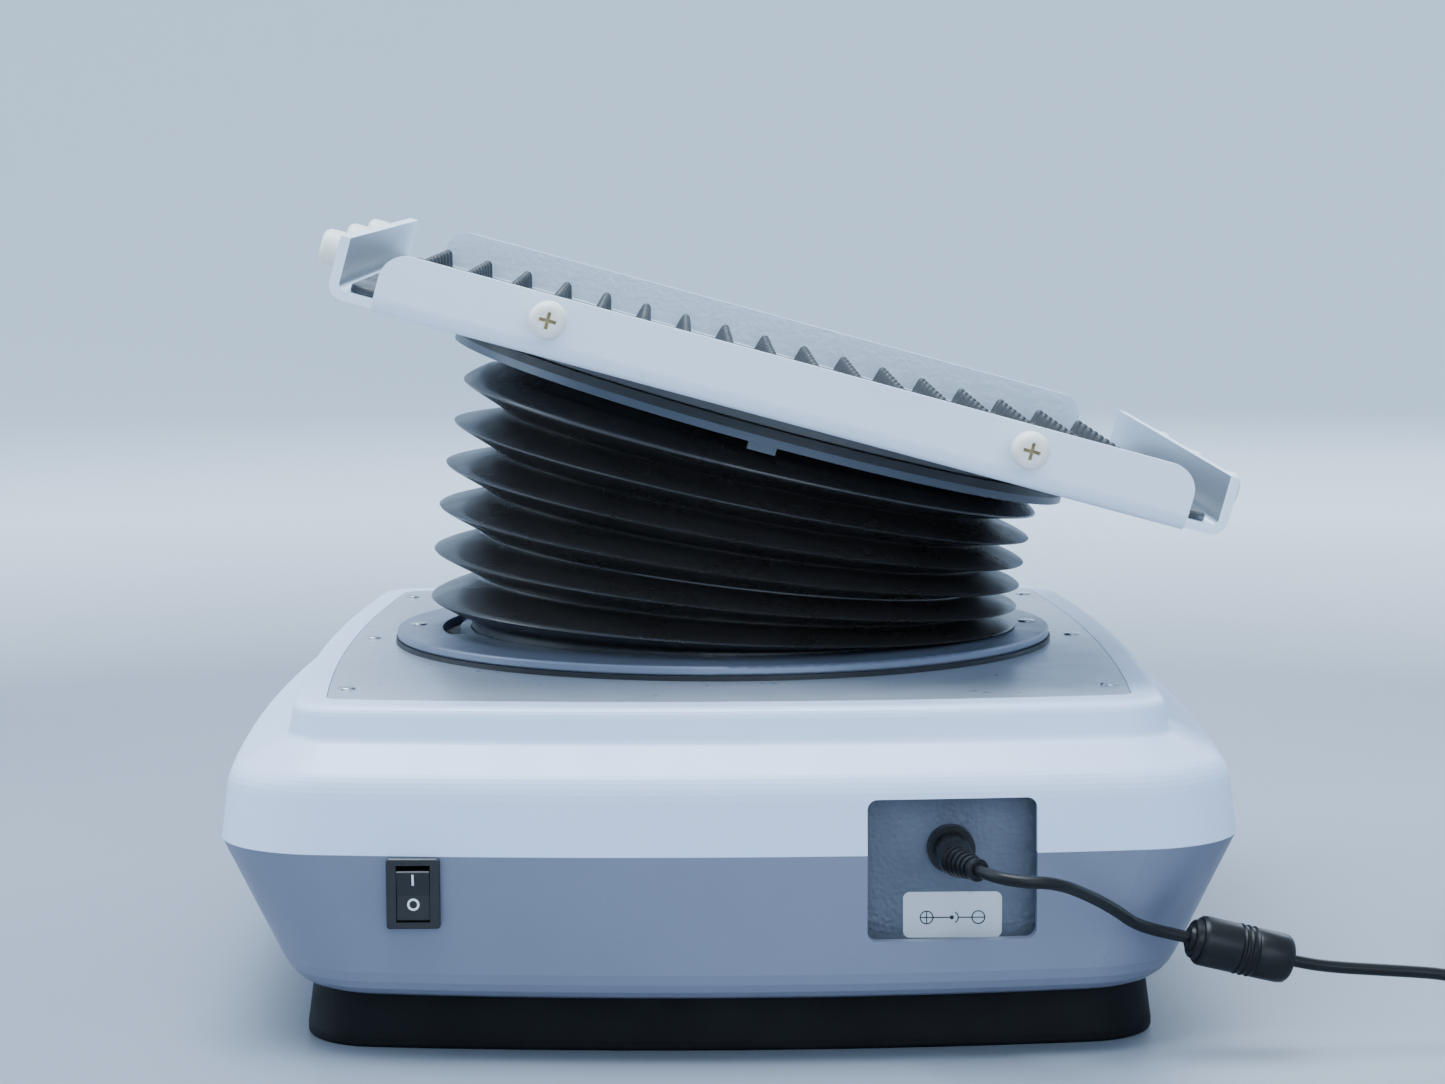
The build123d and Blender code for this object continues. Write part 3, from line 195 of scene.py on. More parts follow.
def metal(name, colour, roughness, brushed=None):
    """Machined or brushed metal: fine scratches along one axis and faint stains."""
    s = Shader(name, colour, roughness, 1.0)
    s.tint(s.ramp(s.noise(35, 5), 0.3, 0.7), shade(colour, 0.9), shade(colour, 1.05))
    lines = s.noise(900, 3, brushed or (1, 1, 8))
    s.rough(lines, roughness * 0.75, roughness * 1.3)
    s.bump(lines, 0.15, 0.00004)
    return s.material


def rubber(name, colour, roughness, grain=0.3, cell=1800, dust=0.25, **sockets):
    """Moulded rubber: matt grain, and a paler bloom in cloudy patches."""
    s = Shader(name, colour, roughness, **sockets)
    bloom = s.math("MULTIPLY", s.ramp(s.noise(28, 6, rough=0.65), 0.45, 0.8), dust)
    s.tint(bloom, colour, shade(colour, 2.4))
    s.rough(s.noise(45, 5), roughness * 0.8, roughness * 1.25)
    s.bump(s.noise(cell, 3), grain, 0.00008)
    return s.material


def tray_finish():
    """White powder coat with coarse orange peel outside, and bare satin sheet inside the flanges."""
    white = (0.80, 0.88, 1.0)
    s = Shader("tray_coat", white, 0.34)
    mapping = s.node("ShaderNodeMapping", vector_type="POINT")
    turn = TRAY_FRAME.inverted()
    mapping.inputs["Location"].default_value = turn.translation
    mapping.inputs["Rotation"].default_value = turn.to_euler()
    s.link(s.place, mapping.inputs["Vector"])
    split = s.node("ShaderNodeSeparateXYZ")
    s.link(mapping.outputs[0], split.inputs[0])
    reach = s.math("MAXIMUM", s.math("ABSOLUTE", split.outputs[0]), s.math("ABSOLUTE", split.outputs[1]))
    within = s.math("LESS_THAN", reach, 0.1378)
    above = s.math("GREATER_THAN", split.outputs[2], 0.0018)
    under_edge = s.math("LESS_THAN", split.outputs[2], 0.01865)
    inside = s.math("MULTIPLY", s.math("MULTIPLY", within, above), under_edge)
    s.tint(s.ramp(s.noise(16, 3), 0.3, 0.7), shade(white, 0.97), shade(white, 1.03))
    s.tint(inside, None, (0.82, 0.91, 1.0))
    s.link(inside, s.bsdf.inputs["Metallic"])
    s.link(s.ramp(inside, 0, 1, 0.34, 0.3), s.bsdf.inputs["Roughness"])
    s.bump(s.noise(520, 2), 0.35, 0.00012)
    return s.material


def pocket_grey_painted_shade():
    """The inlet pocket: a grey darker than the lower shell's, as painted shade for the shadow in the recess,
    with a coarse leather-like mould texture.
    """
    # darker than the lower shell's grey: painted shade for the shadow inside the recess
    colour = (0.115, 0.135, 0.175)
    s = Shader("pocket_texture_painted_shade", colour, 0.42, 0.25)
    s.tint(s.ramp(s.noise(60, 4), 0.3, 0.7), shade(colour, 0.85), shade(colour, 1.15))
    s.bump(s.cells(780), 0.55, 0.0003)
    s.bump(s.noise(1500, 2), 0.25, 0.0001)
    return s.material


def glass():
    s = Shader("window_glass", (0.05, 0.06, 0.07), 0.06)
    s.bsdf.inputs["Coat Weight"].default_value = 1.0
    s.tint(s.ramp(s.noise(30, 3), 0.3, 0.7), (0.028, 0.034, 0.04), (0.045, 0.052, 0.06))
    s.rough(s.noise(150, 4), 0.04, 0.1)
    return s.material


def board():
    green = (0.02, 0.13, 0.06)
    s = Shader("board_mask", green, 0.35)
    s.tint(s.ramp(s.noise(400, 2, (1, 6, 1)), 0.45, 0.55), green, (0.05, 0.22, 0.1))
    s.bump(s.noise(500, 2), 0.3, 0.0001)
    return s.material


FINISHES = {
    "housing_white": plastic("shell_white", (0.64, 0.76, 0.97), 0.34, 0.18, 1100, 0.015),
    "housing_grey": paint("shell_grey", (0.19, 0.212, 0.285), 0.4, 0.3, 0.3, 700, 0.12),
    "black_plastic": plastic(
        "plastic_black", (0.009, 0.009, 0.0105), 0.38, 0.3, 1500, 0.12, Specular_IOR_Level=0.35,
    ),
    "black_rubber": rubber("rubber_black", (0.011, 0.011, 0.012), 0.5),
    "deck_paint": paint("deck_coat", (0.44, 0.48, 0.54), 0.32, 0.4, 0.08, 1100),
    "ring_grey": paint("ring_coat", (0.20, 0.23, 0.30), 0.38, 0.4, 0.1, 1200),
    "steel": metal("bright_steel", (0.55, 0.56, 0.58), 0.28),
    "aluminium": metal("machined_aluminium", (0.72, 0.73, 0.75), 0.34),
    "nylon": plastic("nylon_natural", (0.86, 0.84, 0.76), 0.36, 0.12, 900, 0.03, Subsurface_Weight=0.2),
    "tray_white": tray_finish(),
    "mat_rubber": rubber("mat_grey", (0.028, 0.032, 0.038), 0.5, 0.25, 1500, 0.2),
    "circuit_board": board(),
    "display_glass": glass(),
    "label": plastic("label_film", (0.78, 0.81, 0.85), 0.3, 0.06, 700, 0.02),
    "lead_black": rubber(
        "lead_vinyl", (0.006, 0.006, 0.0065), 0.36, 0.15, 2600, 0.15, Specular_IOR_Level=0.25,
    ),
}
POCKET_PAINTED_SHADE = pocket_grey_painted_shade()
INK = plastic("ink_black", (0.02, 0.022, 0.026), 0.5, 0.05, 900, 0.1)
WHITE_MARK = plastic("mark_white", (0.85, 0.87, 0.9), 0.45, 0.05, 900, 0.02)
BELLOWS_RUBBER = rubber(
    "bellows_rubber", (0.021, 0.019, 0.018), 0.29, 0.04, 1500, 0.2, Specular_IOR_Level=0.7,
)
DISC_GREY = paint("disc_coat", (0.085, 0.083, 0.085), 0.33, 0.3, 0.1, 1100)
DARK_RING = paint("upper_ring_coat", (0.075, 0.088, 0.11), 0.36, 0.4, 0.1, 1200)
# ochre-brown for the screw recesses' floors, darkened with painted shade for their depth
RECESS_OCHRE_SHADE = plastic("recess_ochre_painted_shade", (0.42, 0.33, 0.14), 0.5, 0.1, 900, 0.1)
PAN_BLACK = plastic("pan_black", (0.006, 0.006, 0.007), 0.55, 0.3, 1300, 0.15, Specular_IOR_Level=0.12)
CAST = paint("cast_weight", (0.10, 0.10, 0.105), 0.55, 0.7, 0.6, 420)
GLOSS_BLACK = plastic("switch_black", (0.010, 0.010, 0.011), 0.22, 0.1, 1500, 0.1)
VELCRO = rubber("tie_fabric", (0.012, 0.012, 0.013), 0.8, 0.8, 3000, 0.5)


def dress_frame():
    """Every carried-over node gets its slot's finish, and a few get one of their own."""
    own = {
        "inlet_pocket": POCKET_PAINTED_SHADE,
        "counterweight": CAST,
        "base_pan": PAN_BLACK,
        "mounting_disc": DISC_GREY,
        "top_ring": DARK_RING,
        "foot_pad": PAN_BLACK,
        "rocker": GLOSS_BLACK,
        "switch_body": GLOSS_BLACK,
    }
    for part in frame["record"]["subparts"]:
        material = own.get(part["node"], FINISHES[part["material_slot"]])
        for material_slot in nodes[part["node"]].material_slots:
            material_slot.link = "OBJECT"
            material_slot.material = material


dress_frame()


# ---- mesh helpers ----
def mesh_piece(name, points, faces, material, body, slot, sharp=40):
    mesh = bpy.data.meshes.new(name)
    mesh.from_pydata([tuple(p) for p in points], [], faces)
    mesh.validate()
    mesh.shade_smooth()
    mesh.set_sharp_from_angle(angle=radians(sharp))
    mesh.materials.append(material)
    piece = bpy.data.objects.new(name, mesh)
    bpy.context.scene.collection.objects.link(piece)
    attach(piece, body)
    return piece


def side_axes(normal, hint=Vector((1, 0, 0))):
    """Two unit vectors square to a direction, the first as near to the hint as may be."""
    first = (hint - normal * hint.dot(normal)).normalized()
    return first, normal.cross(first)


def skin(rings, count, hint=Vector((1, 0, 0)), closed=False, swell=None):
    """Points and faces of a skin over rings of (centre, normal, radius), capped unless closed on itself."""
    points, faces = [], []
    for centre, normal, radius in rings:
        u, v = side_axes(normal, hint)
        for i in range(count):
            angle = 2 * pi * i / count
            r = radius * (swell(i) if swell else 1)
            points.append(centre + (u * cos(angle) + v * sin(angle)) * r)
    levels = len(rings)
    for a in range(levels if closed else levels - 1):
        b = (a + 1) % levels
        for i in range(count):
            j = (i + 1) % count
            faces.append((a * count + i, a * count + j, b * count + j, b * count + i))
    if not closed:
        faces.append(tuple(reversed(range(count))))
        faces.append(tuple(range((levels - 1) * count, levels * count)))
    return points, faces


def join(*parts):
    """One list of points and faces from several."""
    points, faces = [], []
    for more_points, more_faces in parts:
        base = len(points)
        points += more_points
        faces += [tuple(base + i for i in face) for face in more_faces]
    return points, faces


def lathe(origin, axis, profile, count=48):
    """A turned solid: the profile is (distance along the axis, radius) pairs in millimetres."""
    rings = [(origin + axis * (at * MM), axis, max(radius, 0.02) * MM) for at, radius in profile]
    return skin(rings, count)


def prism(outline, place, depth):
    """A flat shape of outline points (u, v) raised by depth, set by a function of (u, v, height)."""
    count = len(outline)
    points = [place(u, v, h) for h in (0, depth) for u, v in outline]
    faces = [tuple(reversed(range(count))), tuple(range(count, 2 * count))]
    for i in range(count):
        j = (i + 1) % count
        faces.append((i, j, count + j, count + i))
    return points, faces


def bar(centre, size, place, depth, turn=0.0):
    (x, y), (a, b) = centre, (size[0] / 2, size[1] / 2)
    corners = [(-a, -b), (a, -b), (a, b), (-a, b)]
    c, s = cos(turn), sin(turn)
    return prism([(x + c * u - s * v, y + s * u + c * v) for u, v in corners], place, depth)


def arc_band(centre, inner, outer, place, depth, first=0.0, last=360.0, count=40):
    """A flat ring or part of one, raised by depth."""
    whole = abs(last - first) >= 360
    steps = count if whole else count + 1
    points, faces = [], []
    for h in (0, depth):
        for radius in (inner, outer):
            for i in range(steps):
                angle = radians(first + (last - first) * i / count)
                points.append(place(centre[0] + radius * cos(angle), centre[1] + radius * sin(angle), h))
    low_in, low_out, top_in, top_out = (k * steps for k in range(4))
    for i in range(count):
        j = (i + 1) % steps if whole else i + 1
        faces += [
            (low_in + i, low_in + j, low_out + j, low_out + i),
            (top_in + i, top_out + i, top_out + j, top_in + j),
            (low_out + i, low_out + j, top_out + j, top_out + i),
            (low_in + j, low_in + i, top_in + i, top_in + j),
        ]
    if not whole:
        for i, flip in ((0, False), (steps - 1, True)):
            end = (low_in + i, low_out + i, top_out + i, top_in + i)
            faces.append(tuple(reversed(end)) if flip else end)
    return points, faces


# ---- the supply lead, its plug, ferrite and tie ----
CORD = 3.6 * MM
JACK_X, JACK_Z = 64.2, 61.0
BOOT_START = -184.0
BOOT_WAY = Vector((sin(radians(22)), -cos(radians(22)), -0.03)).normalized()
FERRITE_ENDS = Vector((132.5, -176.0, 36.3)) * MM, Vector((162.4, -171.5, 28.5)) * MM
LEAD_POINTS = [
    (69.07, -196.05, 60.61), (72.44, -204.39, 60.34), (80.4, -208.9, 59.7), (91.0, -207.4, 59.0),
    (102.0, -196.0, 52.5), (110.0, -188.0, 46.8), (117.2, -178.3, 40.3), (132.5, -176.0, 36.3),
    (162.4, -171.5, 28.5), (173.5, -169.9, 26.0), (191.8, -168.0, 24.4), (211.5, -166.0, 22.6),
    (229.0, -167.0, 18.0), (243.0, -169.5, 14.6),
]
TAIL_POINTS = [(286.5, -137.0, 4.6), (284.5, -126.0, 9.5), (282.0, -116.0, 14.5), (281.0, -106.0, 16.0)]
COIL_CENTRE = (262.0, -150.0)
COIL_START, COIL_END = 254.0, 4.0      # bearings, in degrees, where the lead joins and leaves the coil
# turns so far, radius and height: down the inner column, up the middle one, down the outer one
COIL_KEYS = [
    (0.0, 22.6, 12.8), (0.3, 16.7, 9.1), (2.3, 16.7, 1.9), (2.6, 20.5, 1.9),
    (4.6, 20.5, 9.1), (4.95, 24.3, 9.1), (6.95, 24.3, 1.9), (7.31, 24.5, 2.0),
]
POINTS_PER_TURN = 16


def coil_points():
    """The coil's turns, walked anticlockwise from where the lead comes in over the top."""
    turns = 7 + ((COIL_END - COIL_START) % 360) / 360
    count = round(turns * POINTS_PER_TURN)
    for i in range(count + 1):
        turn = turns * i / count
        for (t0, r0, z0), (t1, r1, z1) in zip(COIL_KEYS, COIL_KEYS[1:]):
            if t0 <= turn <= t1:
                share = (turn - t0) / (t1 - t0)
                break
        radius, height = r0 + (r1 - r0) * share, z0 + (z1 - z0) * share
        bearing = radians(COIL_START + 360 * turn)
        yield COIL_CENTRE[0] + radius * cos(bearing), COIL_CENTRE[1] + radius * sin(bearing), height


def make_lead():
    points = LEAD_POINTS + list(coil_points()) + TAIL_POINTS
    curve = bpy.data.curves.new("supply_lead", "CURVE")
    curve.dimensions = "3D"
    spline = curve.splines.new("NURBS")
    spline.points.add(len(points) - 1)
    for point, place in zip(spline.points, points):
        point.co = (*(c * MM for c in place), 1)
    spline.order_u = 3
    spline.use_endpoint_u = True
    spline.resolution_u = 6
    curve.bevel_depth = CORD / 2
    curve.bevel_resolution = 5
    curve.use_fill_caps = True
    curve.materials.append(FINISHES["lead_black"])
    lead = bpy.data.objects.new("supply_lead", curve)
    bpy.context.scene.collection.objects.link(lead)
    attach(lead, "base")
    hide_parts("lead_to_ferrite", "lead_to_coil", "lead_coil", "lead_tail")
    return lead


def make_plug():
    """The moulded plug and its ribbed, bent boot."""
    y = Vector((0, -1, 0))
    start = Vector((JACK_X, 0, JACK_Z)) * MM
    body = lathe(start, y, [
        (157, 2.74), (168.1, 2.74), (168.12, 5.0), (168.6, 5.3), (179.4, 5.3), (180.6, 5.15),
        (182.2, 4.85), (184.6, 4.5),
    ], 40)
    profile = [(-1.2, 4.3)]
    for rib in range(5):
        at, radius = 0.6 + rib * 2.2, 4.75 - rib * 0.3
        profile += [
            (at, radius - 0.75), (at + 0.15, radius), (at + 1.15, radius - 0.1), (at + 1.3, radius - 0.75),
        ]
    profile += [(11.8, 2.75), (12.0, 3.35), (13.6, 3.3), (13.8, 2.9), (13.81, 1.85)]
    boot = lathe(start + y * (-BOOT_START * MM), BOOT_WAY, profile, 40)
    grips = [
        bar((0, 0), (0.5, 7.0), lambda u, v, h, a=radians(60 * k): start + y * ((175 + v) * MM)
            + Vector((cos(a), 0, sin(a))) * ((5.2 + h) * MM) + Vector((-sin(a), 0, cos(a))) * (u * MM), 0.35)
        for k in range(6)
    ]
    vinyl = FINISHES["lead_black"]
    plug = mesh_piece("supply_plug", *join(body, boot, *grips), vinyl, "base", "lead_black", 32)
    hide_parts("dc_plug")
    return plug


def make_ferrite():
    """The overmoulded ferrite: stepped nose, three ribs, a split line and two clip slots."""
    start, end = FERRITE_ENDS
    axis = (end - start).normalized()
    profile = [
        (-0.4, 1.85), (-0.4, 3.2), (0.0, 3.6), (0.7, 3.8), (0.7, 5.2), (1.1, 5.6), (2.6, 5.9), (2.7, 6.6),
        (3.3, 7.1), (4.2, 7.3), (14.3, 7.3),
    ]
    for rib in range(3):
        at = 14.5 + rib * 2.0
        profile += [(at, 6.95), (at + 0.3, 7.3), (at + 0.65, 7.5), (at + 1.0, 7.3), (at + 1.3, 6.95)]
    profile += [(20.5, 7.3), (28.4, 7.3), (29.9, 7.0), (30.8, 6.2), (31.0, 5.2), (31.0, 1.85)]
    shell = lathe(start, axis, profile, 64)
    u, v = side_axes(axis, Vector((0, 0, 1)))

    def on_shell(along, around, height):
        radial = u * cos(around / 7.3) - v * sin(around / 7.3)
        return start + axis * (along * MM) + radial * ((7.22 + height) * MM)

    rear_side = radians(62) * 7.3
    slots = [bar((at, rear_side), (1.7, 1.1), on_shell, 0.16) for at in (12.2, 23.0)]
    seam = [
        bar((mid, rear_side + 1.6), (length, 0.16), on_shell, 0.14)
        for mid, length in ((9.4, 8.6), (25.0, 6.4))
    ]
    vinyl = FINISHES["lead_black"]
    bead = mesh_piece("ferrite", *join(shell, *slots, *seam), vinyl, "base", "lead_black", 32)
    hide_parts("ferrite_bead")
    return bead


def make_tie():
    """A hook-and-loop tie round the coil's bundle."""
    bearing = radians(150)
    out = Vector((cos(bearing), sin(bearing), 0))
    run = Vector((-sin(bearing), cos(bearing), 0))
    middle = Vector((*COIL_CENTRE, 0)) * MM + out * (20.5 * MM) + Vector((0, 0, 5.9 * MM))
    half_out, half_up, corner, thick, half_width = 5.9, 5.3, 2.2, 0.55, 4.0

    def outline(grow):
        for quarter in range(4):
            sign_u, sign_v = ((1, 1), (-1, 1), (-1, -1), (1, -1))[quarter]
            for step in range(7):
                a = radians(90 * quarter + 15 * step)
                yield (sign_u * (half_out - corner) + (corner + grow) * cos(a),
                       sign_v * (half_up - corner) + (corner + grow) * sin(a))

    points, faces = [], []
    loops = [(grow, side) for side in (-1, 1) for grow in (0, thick)]
    for grow, side in loops:
        points += [middle + out * (a * MM) + Vector((0, 0, b * MM)) + run * (side * half_width * MM)
                   for a, b in outline(grow)]
    count = len(points) // 4
    order = (0, 1, 3, 2)
    for a, b in zip(order, order[1:] + order[:1]):
        for i in range(count):
            j = (i + 1) % count
            faces.append((a * count + i, a * count + j, b * count + j, b * count + i))
    return mesh_piece("lead_tie", points, faces, VELCRO, "base", "lead_black", 50)


def make_cords():
    lead, plug, bead, tie = make_lead(), make_plug(), make_ferrite(), make_tie()
    tuple(c * MM for c in LEAD_POINTS[0])


make_cords()


# ---- bellows ----
CREST, VALLEY, CUFF = 99.5, 84.0, 85.6
CRESTS, FIRST_CREST, CREST_STEP = 6, 0.072, 0.148
FOOT_Z, TOP_SHORT = 107.8, 5.4         # lower end above the deck, and the folds' upper end under the tray
CUFF_TOP = 5.3                         # the upper cuff's end below the tray's underside
BELLOWS_WALL = 2.0
FOOT_DEPTH = 4.2                       # the lower cuff's run into the clamp ring
BELLOWS_LEVELS, BELLOWS_COUNT = 168, 240
SEAM_SHARE, SEAM_SWELL = 0.75, 1.0035  # the mould seam's place round the bellows, and how far it stands out
CREST_ROUND, VALLEY_ROUND = 0.10, 0.16
UPPER_BULGE = 0.07
FOOT_EASE = 0.2                        # how much of a fold the lower cuff takes to open out
FOOT_PHASE = -0.42                     # where the lower cuff ends, in folds before the first crest
TOP_FOLD = 0.9                         # the last fold's upper face, in folds


def bellows_level(share):
    """Centre and normal of the bellows' section a share of the way up."""
    top = PIVOT + NORMAL * (TRAY_H - TOP_SHORT * MM)
    sideways = sqrt(top.x**2 + top.y**2) * share**1.75
    height = FOOT_Z * MM + (top.z - FOOT_Z * MM) * share
    lean = TILT * share**0.62
    return DOWNHILL * sideways + Vector((0, 0, height)), DOWNHILL * sin(lean) + Vector((0, 0, cos(lean)))


def fold(share):
    """Outer radius of the rubber, in millimetres; the last fold runs straight to the upper ring."""
    phase = (share - FIRST_CREST) / CREST_STEP
    if phase < FOOT_PHASE:
        return CUFF
    if phase > CRESTS - 1:
        tri = 1 - (phase - CRESTS + 1) / TOP_FOLD
        if tri < 0:
            return CUFF
        valley = CUFF
    else:
        tri = 1 - 2 * abs(phase - round(phase))
        valley = VALLEY
    ridge = 1 - sqrt((1 - tri) ** 2 + CREST_ROUND**2) + CREST_ROUND
    hollow = sqrt(tri**2 + VALLEY_ROUND**2) - VALLEY_ROUND
    mix = min(max(tri, 0), 1)
    bulge = UPPER_BULGE * sin(pi * mix) if phase > round(phase) else 0
    radius = valley + (CREST - valley) * (hollow * (1 - mix) + ridge * mix + bulge)
    ease = min((phase - FOOT_PHASE) / FOOT_EASE, 1)
    return CUFF + (radius - CUFF) * ease


def make_bellows():
    outer = [
        (*bellows_level(i / BELLOWS_LEVELS), fold(i / BELLOWS_LEVELS)) for i in range(BELLOWS_LEVELS + 1)
    ]
    foot = outer[0]
    down = (foot[0] - Vector((0, 0, FOOT_DEPTH * MM)), foot[1], CUFF)
    up = (PIVOT + NORMAL * (TRAY_H - CUFF_TOP * MM), NORMAL, CUFF)
    walk = [down] + outer + [up]
    inner = [(centre, normal, radius - BELLOWS_WALL) for centre, normal, radius in reversed(walk)]
    rings = [(centre, normal, radius * MM) for centre, normal, radius in walk + inner]
    seam = round(BELLOWS_COUNT * SEAM_SHARE)
    points, faces = skin(
        rings, BELLOWS_COUNT, DOWNHILL, closed=True, swell=lambda i: SEAM_SWELL if i == seam else 1,
    )
    rubber_boot = mesh_piece("rubber_bellows", points, faces, BELLOWS_RUBBER, "rotor", "black_rubber", 60)
    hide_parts("bellows")


make_bellows()


# ---- peg mat ----
MAT_FLOOR, MAT_TOP, MAT_HALF, MAT_CORNER = 3.0, 5.5, (134.0, 123.0), 6
PEG_PITCH, PEG_COLUMNS, PEG_ROWS = 15.3, 17, 16
# height over the mat and radius, from the flared root to the round tip
PEG_PROFILE = [
    (-0.2, 3.3), (0.15, 3.05), (0.7, 2.8), (2.4, 2.35), (4.0, 1.9),
    (5.0, 1.55), (5.6, 1.15), (5.9, 0.7), (6.02, 0.25),
]


def on_tray(x, y, z):
    return TRAY_FRAME @ Vector((x * MM, y * MM, z * MM))


def rounded_rectangle(half_x, half_y, corner, steps=8):
    for quarter, (sx, sy) in enumerate(((1, 1), (-1, 1), (-1, -1), (1, -1))):
        for step in range(steps + 1):
            a = radians(90 * quarter + 90 * step / steps)
            yield sx * (half_x - corner) + corner * cos(a), sy * (half_y - corner) + corner * sin(a)


def make_mat():
    """A sheet with softened edges and a grid of tapered pegs."""
    edge = [
        (MAT_FLOOR, 0.4), (MAT_FLOOR + 0.5, 0.0), (MAT_TOP - 0.8, 0.0), (MAT_TOP - 0.2, 0.25), (MAT_TOP, 0.8),
    ]
    outlines = [
        list(rounded_rectangle(MAT_HALF[0] - inset, MAT_HALF[1] - inset, MAT_CORNER - inset))
        for _, inset in edge
    ]
    count = len(outlines[0])
    points = [on_tray(x, y, z) for (z, _), outline in zip(edge, outlines) for x, y in outline]
    faces = [tuple(reversed(range(count))), tuple(range((len(edge) - 1) * count, len(edge) * count))]
    for a in range(len(edge) - 1):
        for i in range(count):
            j = (i + 1) % count
            faces.append((a * count + i, a * count + j, (a + 1) * count + j, (a + 1) * count + i))
    pegs = []
    for column in range(PEG_COLUMNS):
        for row in range(PEG_ROWS):
            x = (column - (PEG_COLUMNS - 1) / 2) * PEG_PITCH
            y = (row - (PEG_ROWS - 1) / 2) * PEG_PITCH
            rings = [(on_tray(x, y, MAT_TOP + z), NORMAL, r * MM) for z, r in PEG_PROFILE]
            pegs.append(skin(rings, 14))
    sheet_and_pegs = join((points, faces), *pegs)
    mat = mesh_piece("pegged_mat", *sheet_and_pegs, FINISHES["mat_rubber"], "tray", "mat_rubber", 50)
    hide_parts("peg_mat")


make_mat()


# ---- marks: rocker, inlet label, operator's panel ----
def rear_face(y):
    """Places a flat mark on a face at y that looks towards -Y; u is X and v is Z, in millimetres."""
    return lambda u, v, h: Vector((u, y - h, v)) * MM


def front_face(y):
    """The same for a face that looks towards +Y, with u running towards -X."""
    return lambda u, v, h: Vector((-u, y + h, v)) * MM


def make_recesses():
    """The nylon screws' cross recesses: ochre-brown crosses on their floors, the colour seen there darkened
    with painted shade for the recesses' depth.
    """
    pitch, height = 73.5, 11.7         # spacing along a flange, and height over the tray's underside
    reach, depth = 140.0, 7.82         # the flange's outer face, and the recess's floor outside it
    long_side, short_side = 5.0, 0.96
    screws = [((x, -reach), (0, -1)) for x in (-pitch, pitch)]
    screws += [((sign * reach, y), (sign, 0)) for sign in (-1, 1) for y in (-pitch, 0, pitch)]
    crosses = []
    for (x, y), (out_x, out_y) in screws:
        def place(u, v, h, x=x, y=y, out_x=out_x, out_y=out_y):
            away = depth + h
            return on_tray(x + out_x * away - out_y * u, y + out_y * away + out_x * u, height + v)

        crosses.append(bar((0, 0), (long_side, short_side), place, 0.12))
        crosses.append(bar((0, 0), (short_side, long_side), place, 0.14))
    mesh_piece("screw_recesses", *join(*crosses), RECESS_OCHRE_SHADE, "tray", "nylon", 30)


def make_label_symbol():
    """The usual polarity symbol of a direct-current inlet."""
    place = rear_face(-164.31)
    x, z, r, line, proud = 64.8, 40.2, 2.05, 0.34, 0.08
    left, right = x - 7.6, x + 7.6
    parts = [
        arc_band((left, z), r - line, r, place, proud),
        arc_band((right, z), r - line, r, place, proud),
        bar((left, z), (2 * r, line * 0.9), place, proud),
        bar((left, z), (line * 0.9, 2 * r), place, proud),
        bar((right, z), (2 * r, line * 0.9), place, proud),
        bar(((left + r + x - 0.4) / 2, z), (x - 0.4 - left - r, line), place, proud),
        bar(((right - r + x + 1.75) / 2, z), (right - r - x - 1.75, line), place, proud),
        arc_band((x - 0.2, z), 0.001, 0.62, place, proud),
        arc_band((x - 0.1, z), 1.6, 1.6 + line, place, proud, -62, 62, 24),
    ]
    mesh_piece("polarity_symbol", *join(*parts), INK, "base", "black_plastic", 30)


ROCKER_PIVOT = Vector((-92.0, -172.4, 51.0)) * MM
ROCKER_REST = radians(7)


def make_rocker_marks():
    """I and O on the two slopes of the rocker's face, moulded in white."""
    turn = Matrix.Rotation(ROCKER_REST, 3, "X")

    def place(u, v, h):
        proud = 4.9 + abs(v) / 7.5 + h
        return ROCKER_PIVOT + turn @ Vector((u * MM, -proud * MM, v * MM))

    parts = [bar((0, 4.9), (0.62, 3.4), place, 0.09), arc_band((0, -2.6), 1.15, 1.75, place, 0.09)]
    mesh_piece("rocker_marks", *join(*parts), WHITE_MARK, "power_rocker", "black_plastic", 30)


PANEL_Y, KNOB_Z = 181.0, 59.0
KNOB_X = {"speed": -8.0, "timer": -42.0}


def make_panel_marks():
    """Plain scale ticks round the knobs and a triangle over the start key."""
    place = front_face(PANEL_Y)
    parts = []
    for x in KNOB_X.values():
        for tick in range(11):
            angle = radians(225 - 27 * tick)
            at = (-x + 14.2 * cos(angle), KNOB_Z + 14.2 * sin(angle))
            long_tick = 2.4 if tick % 5 == 0 else 1.5
            parts.append(bar(at, (long_tick, 0.45), place, 0.06, angle))
    parts.append(prism([(69.4, 69.2), (73.4, 71.5), (69.4, 73.8)], place, 0.06))
    mesh_piece("panel_ticks", *join(*parts), WHITE_MARK, "base", "black_plastic", 30)


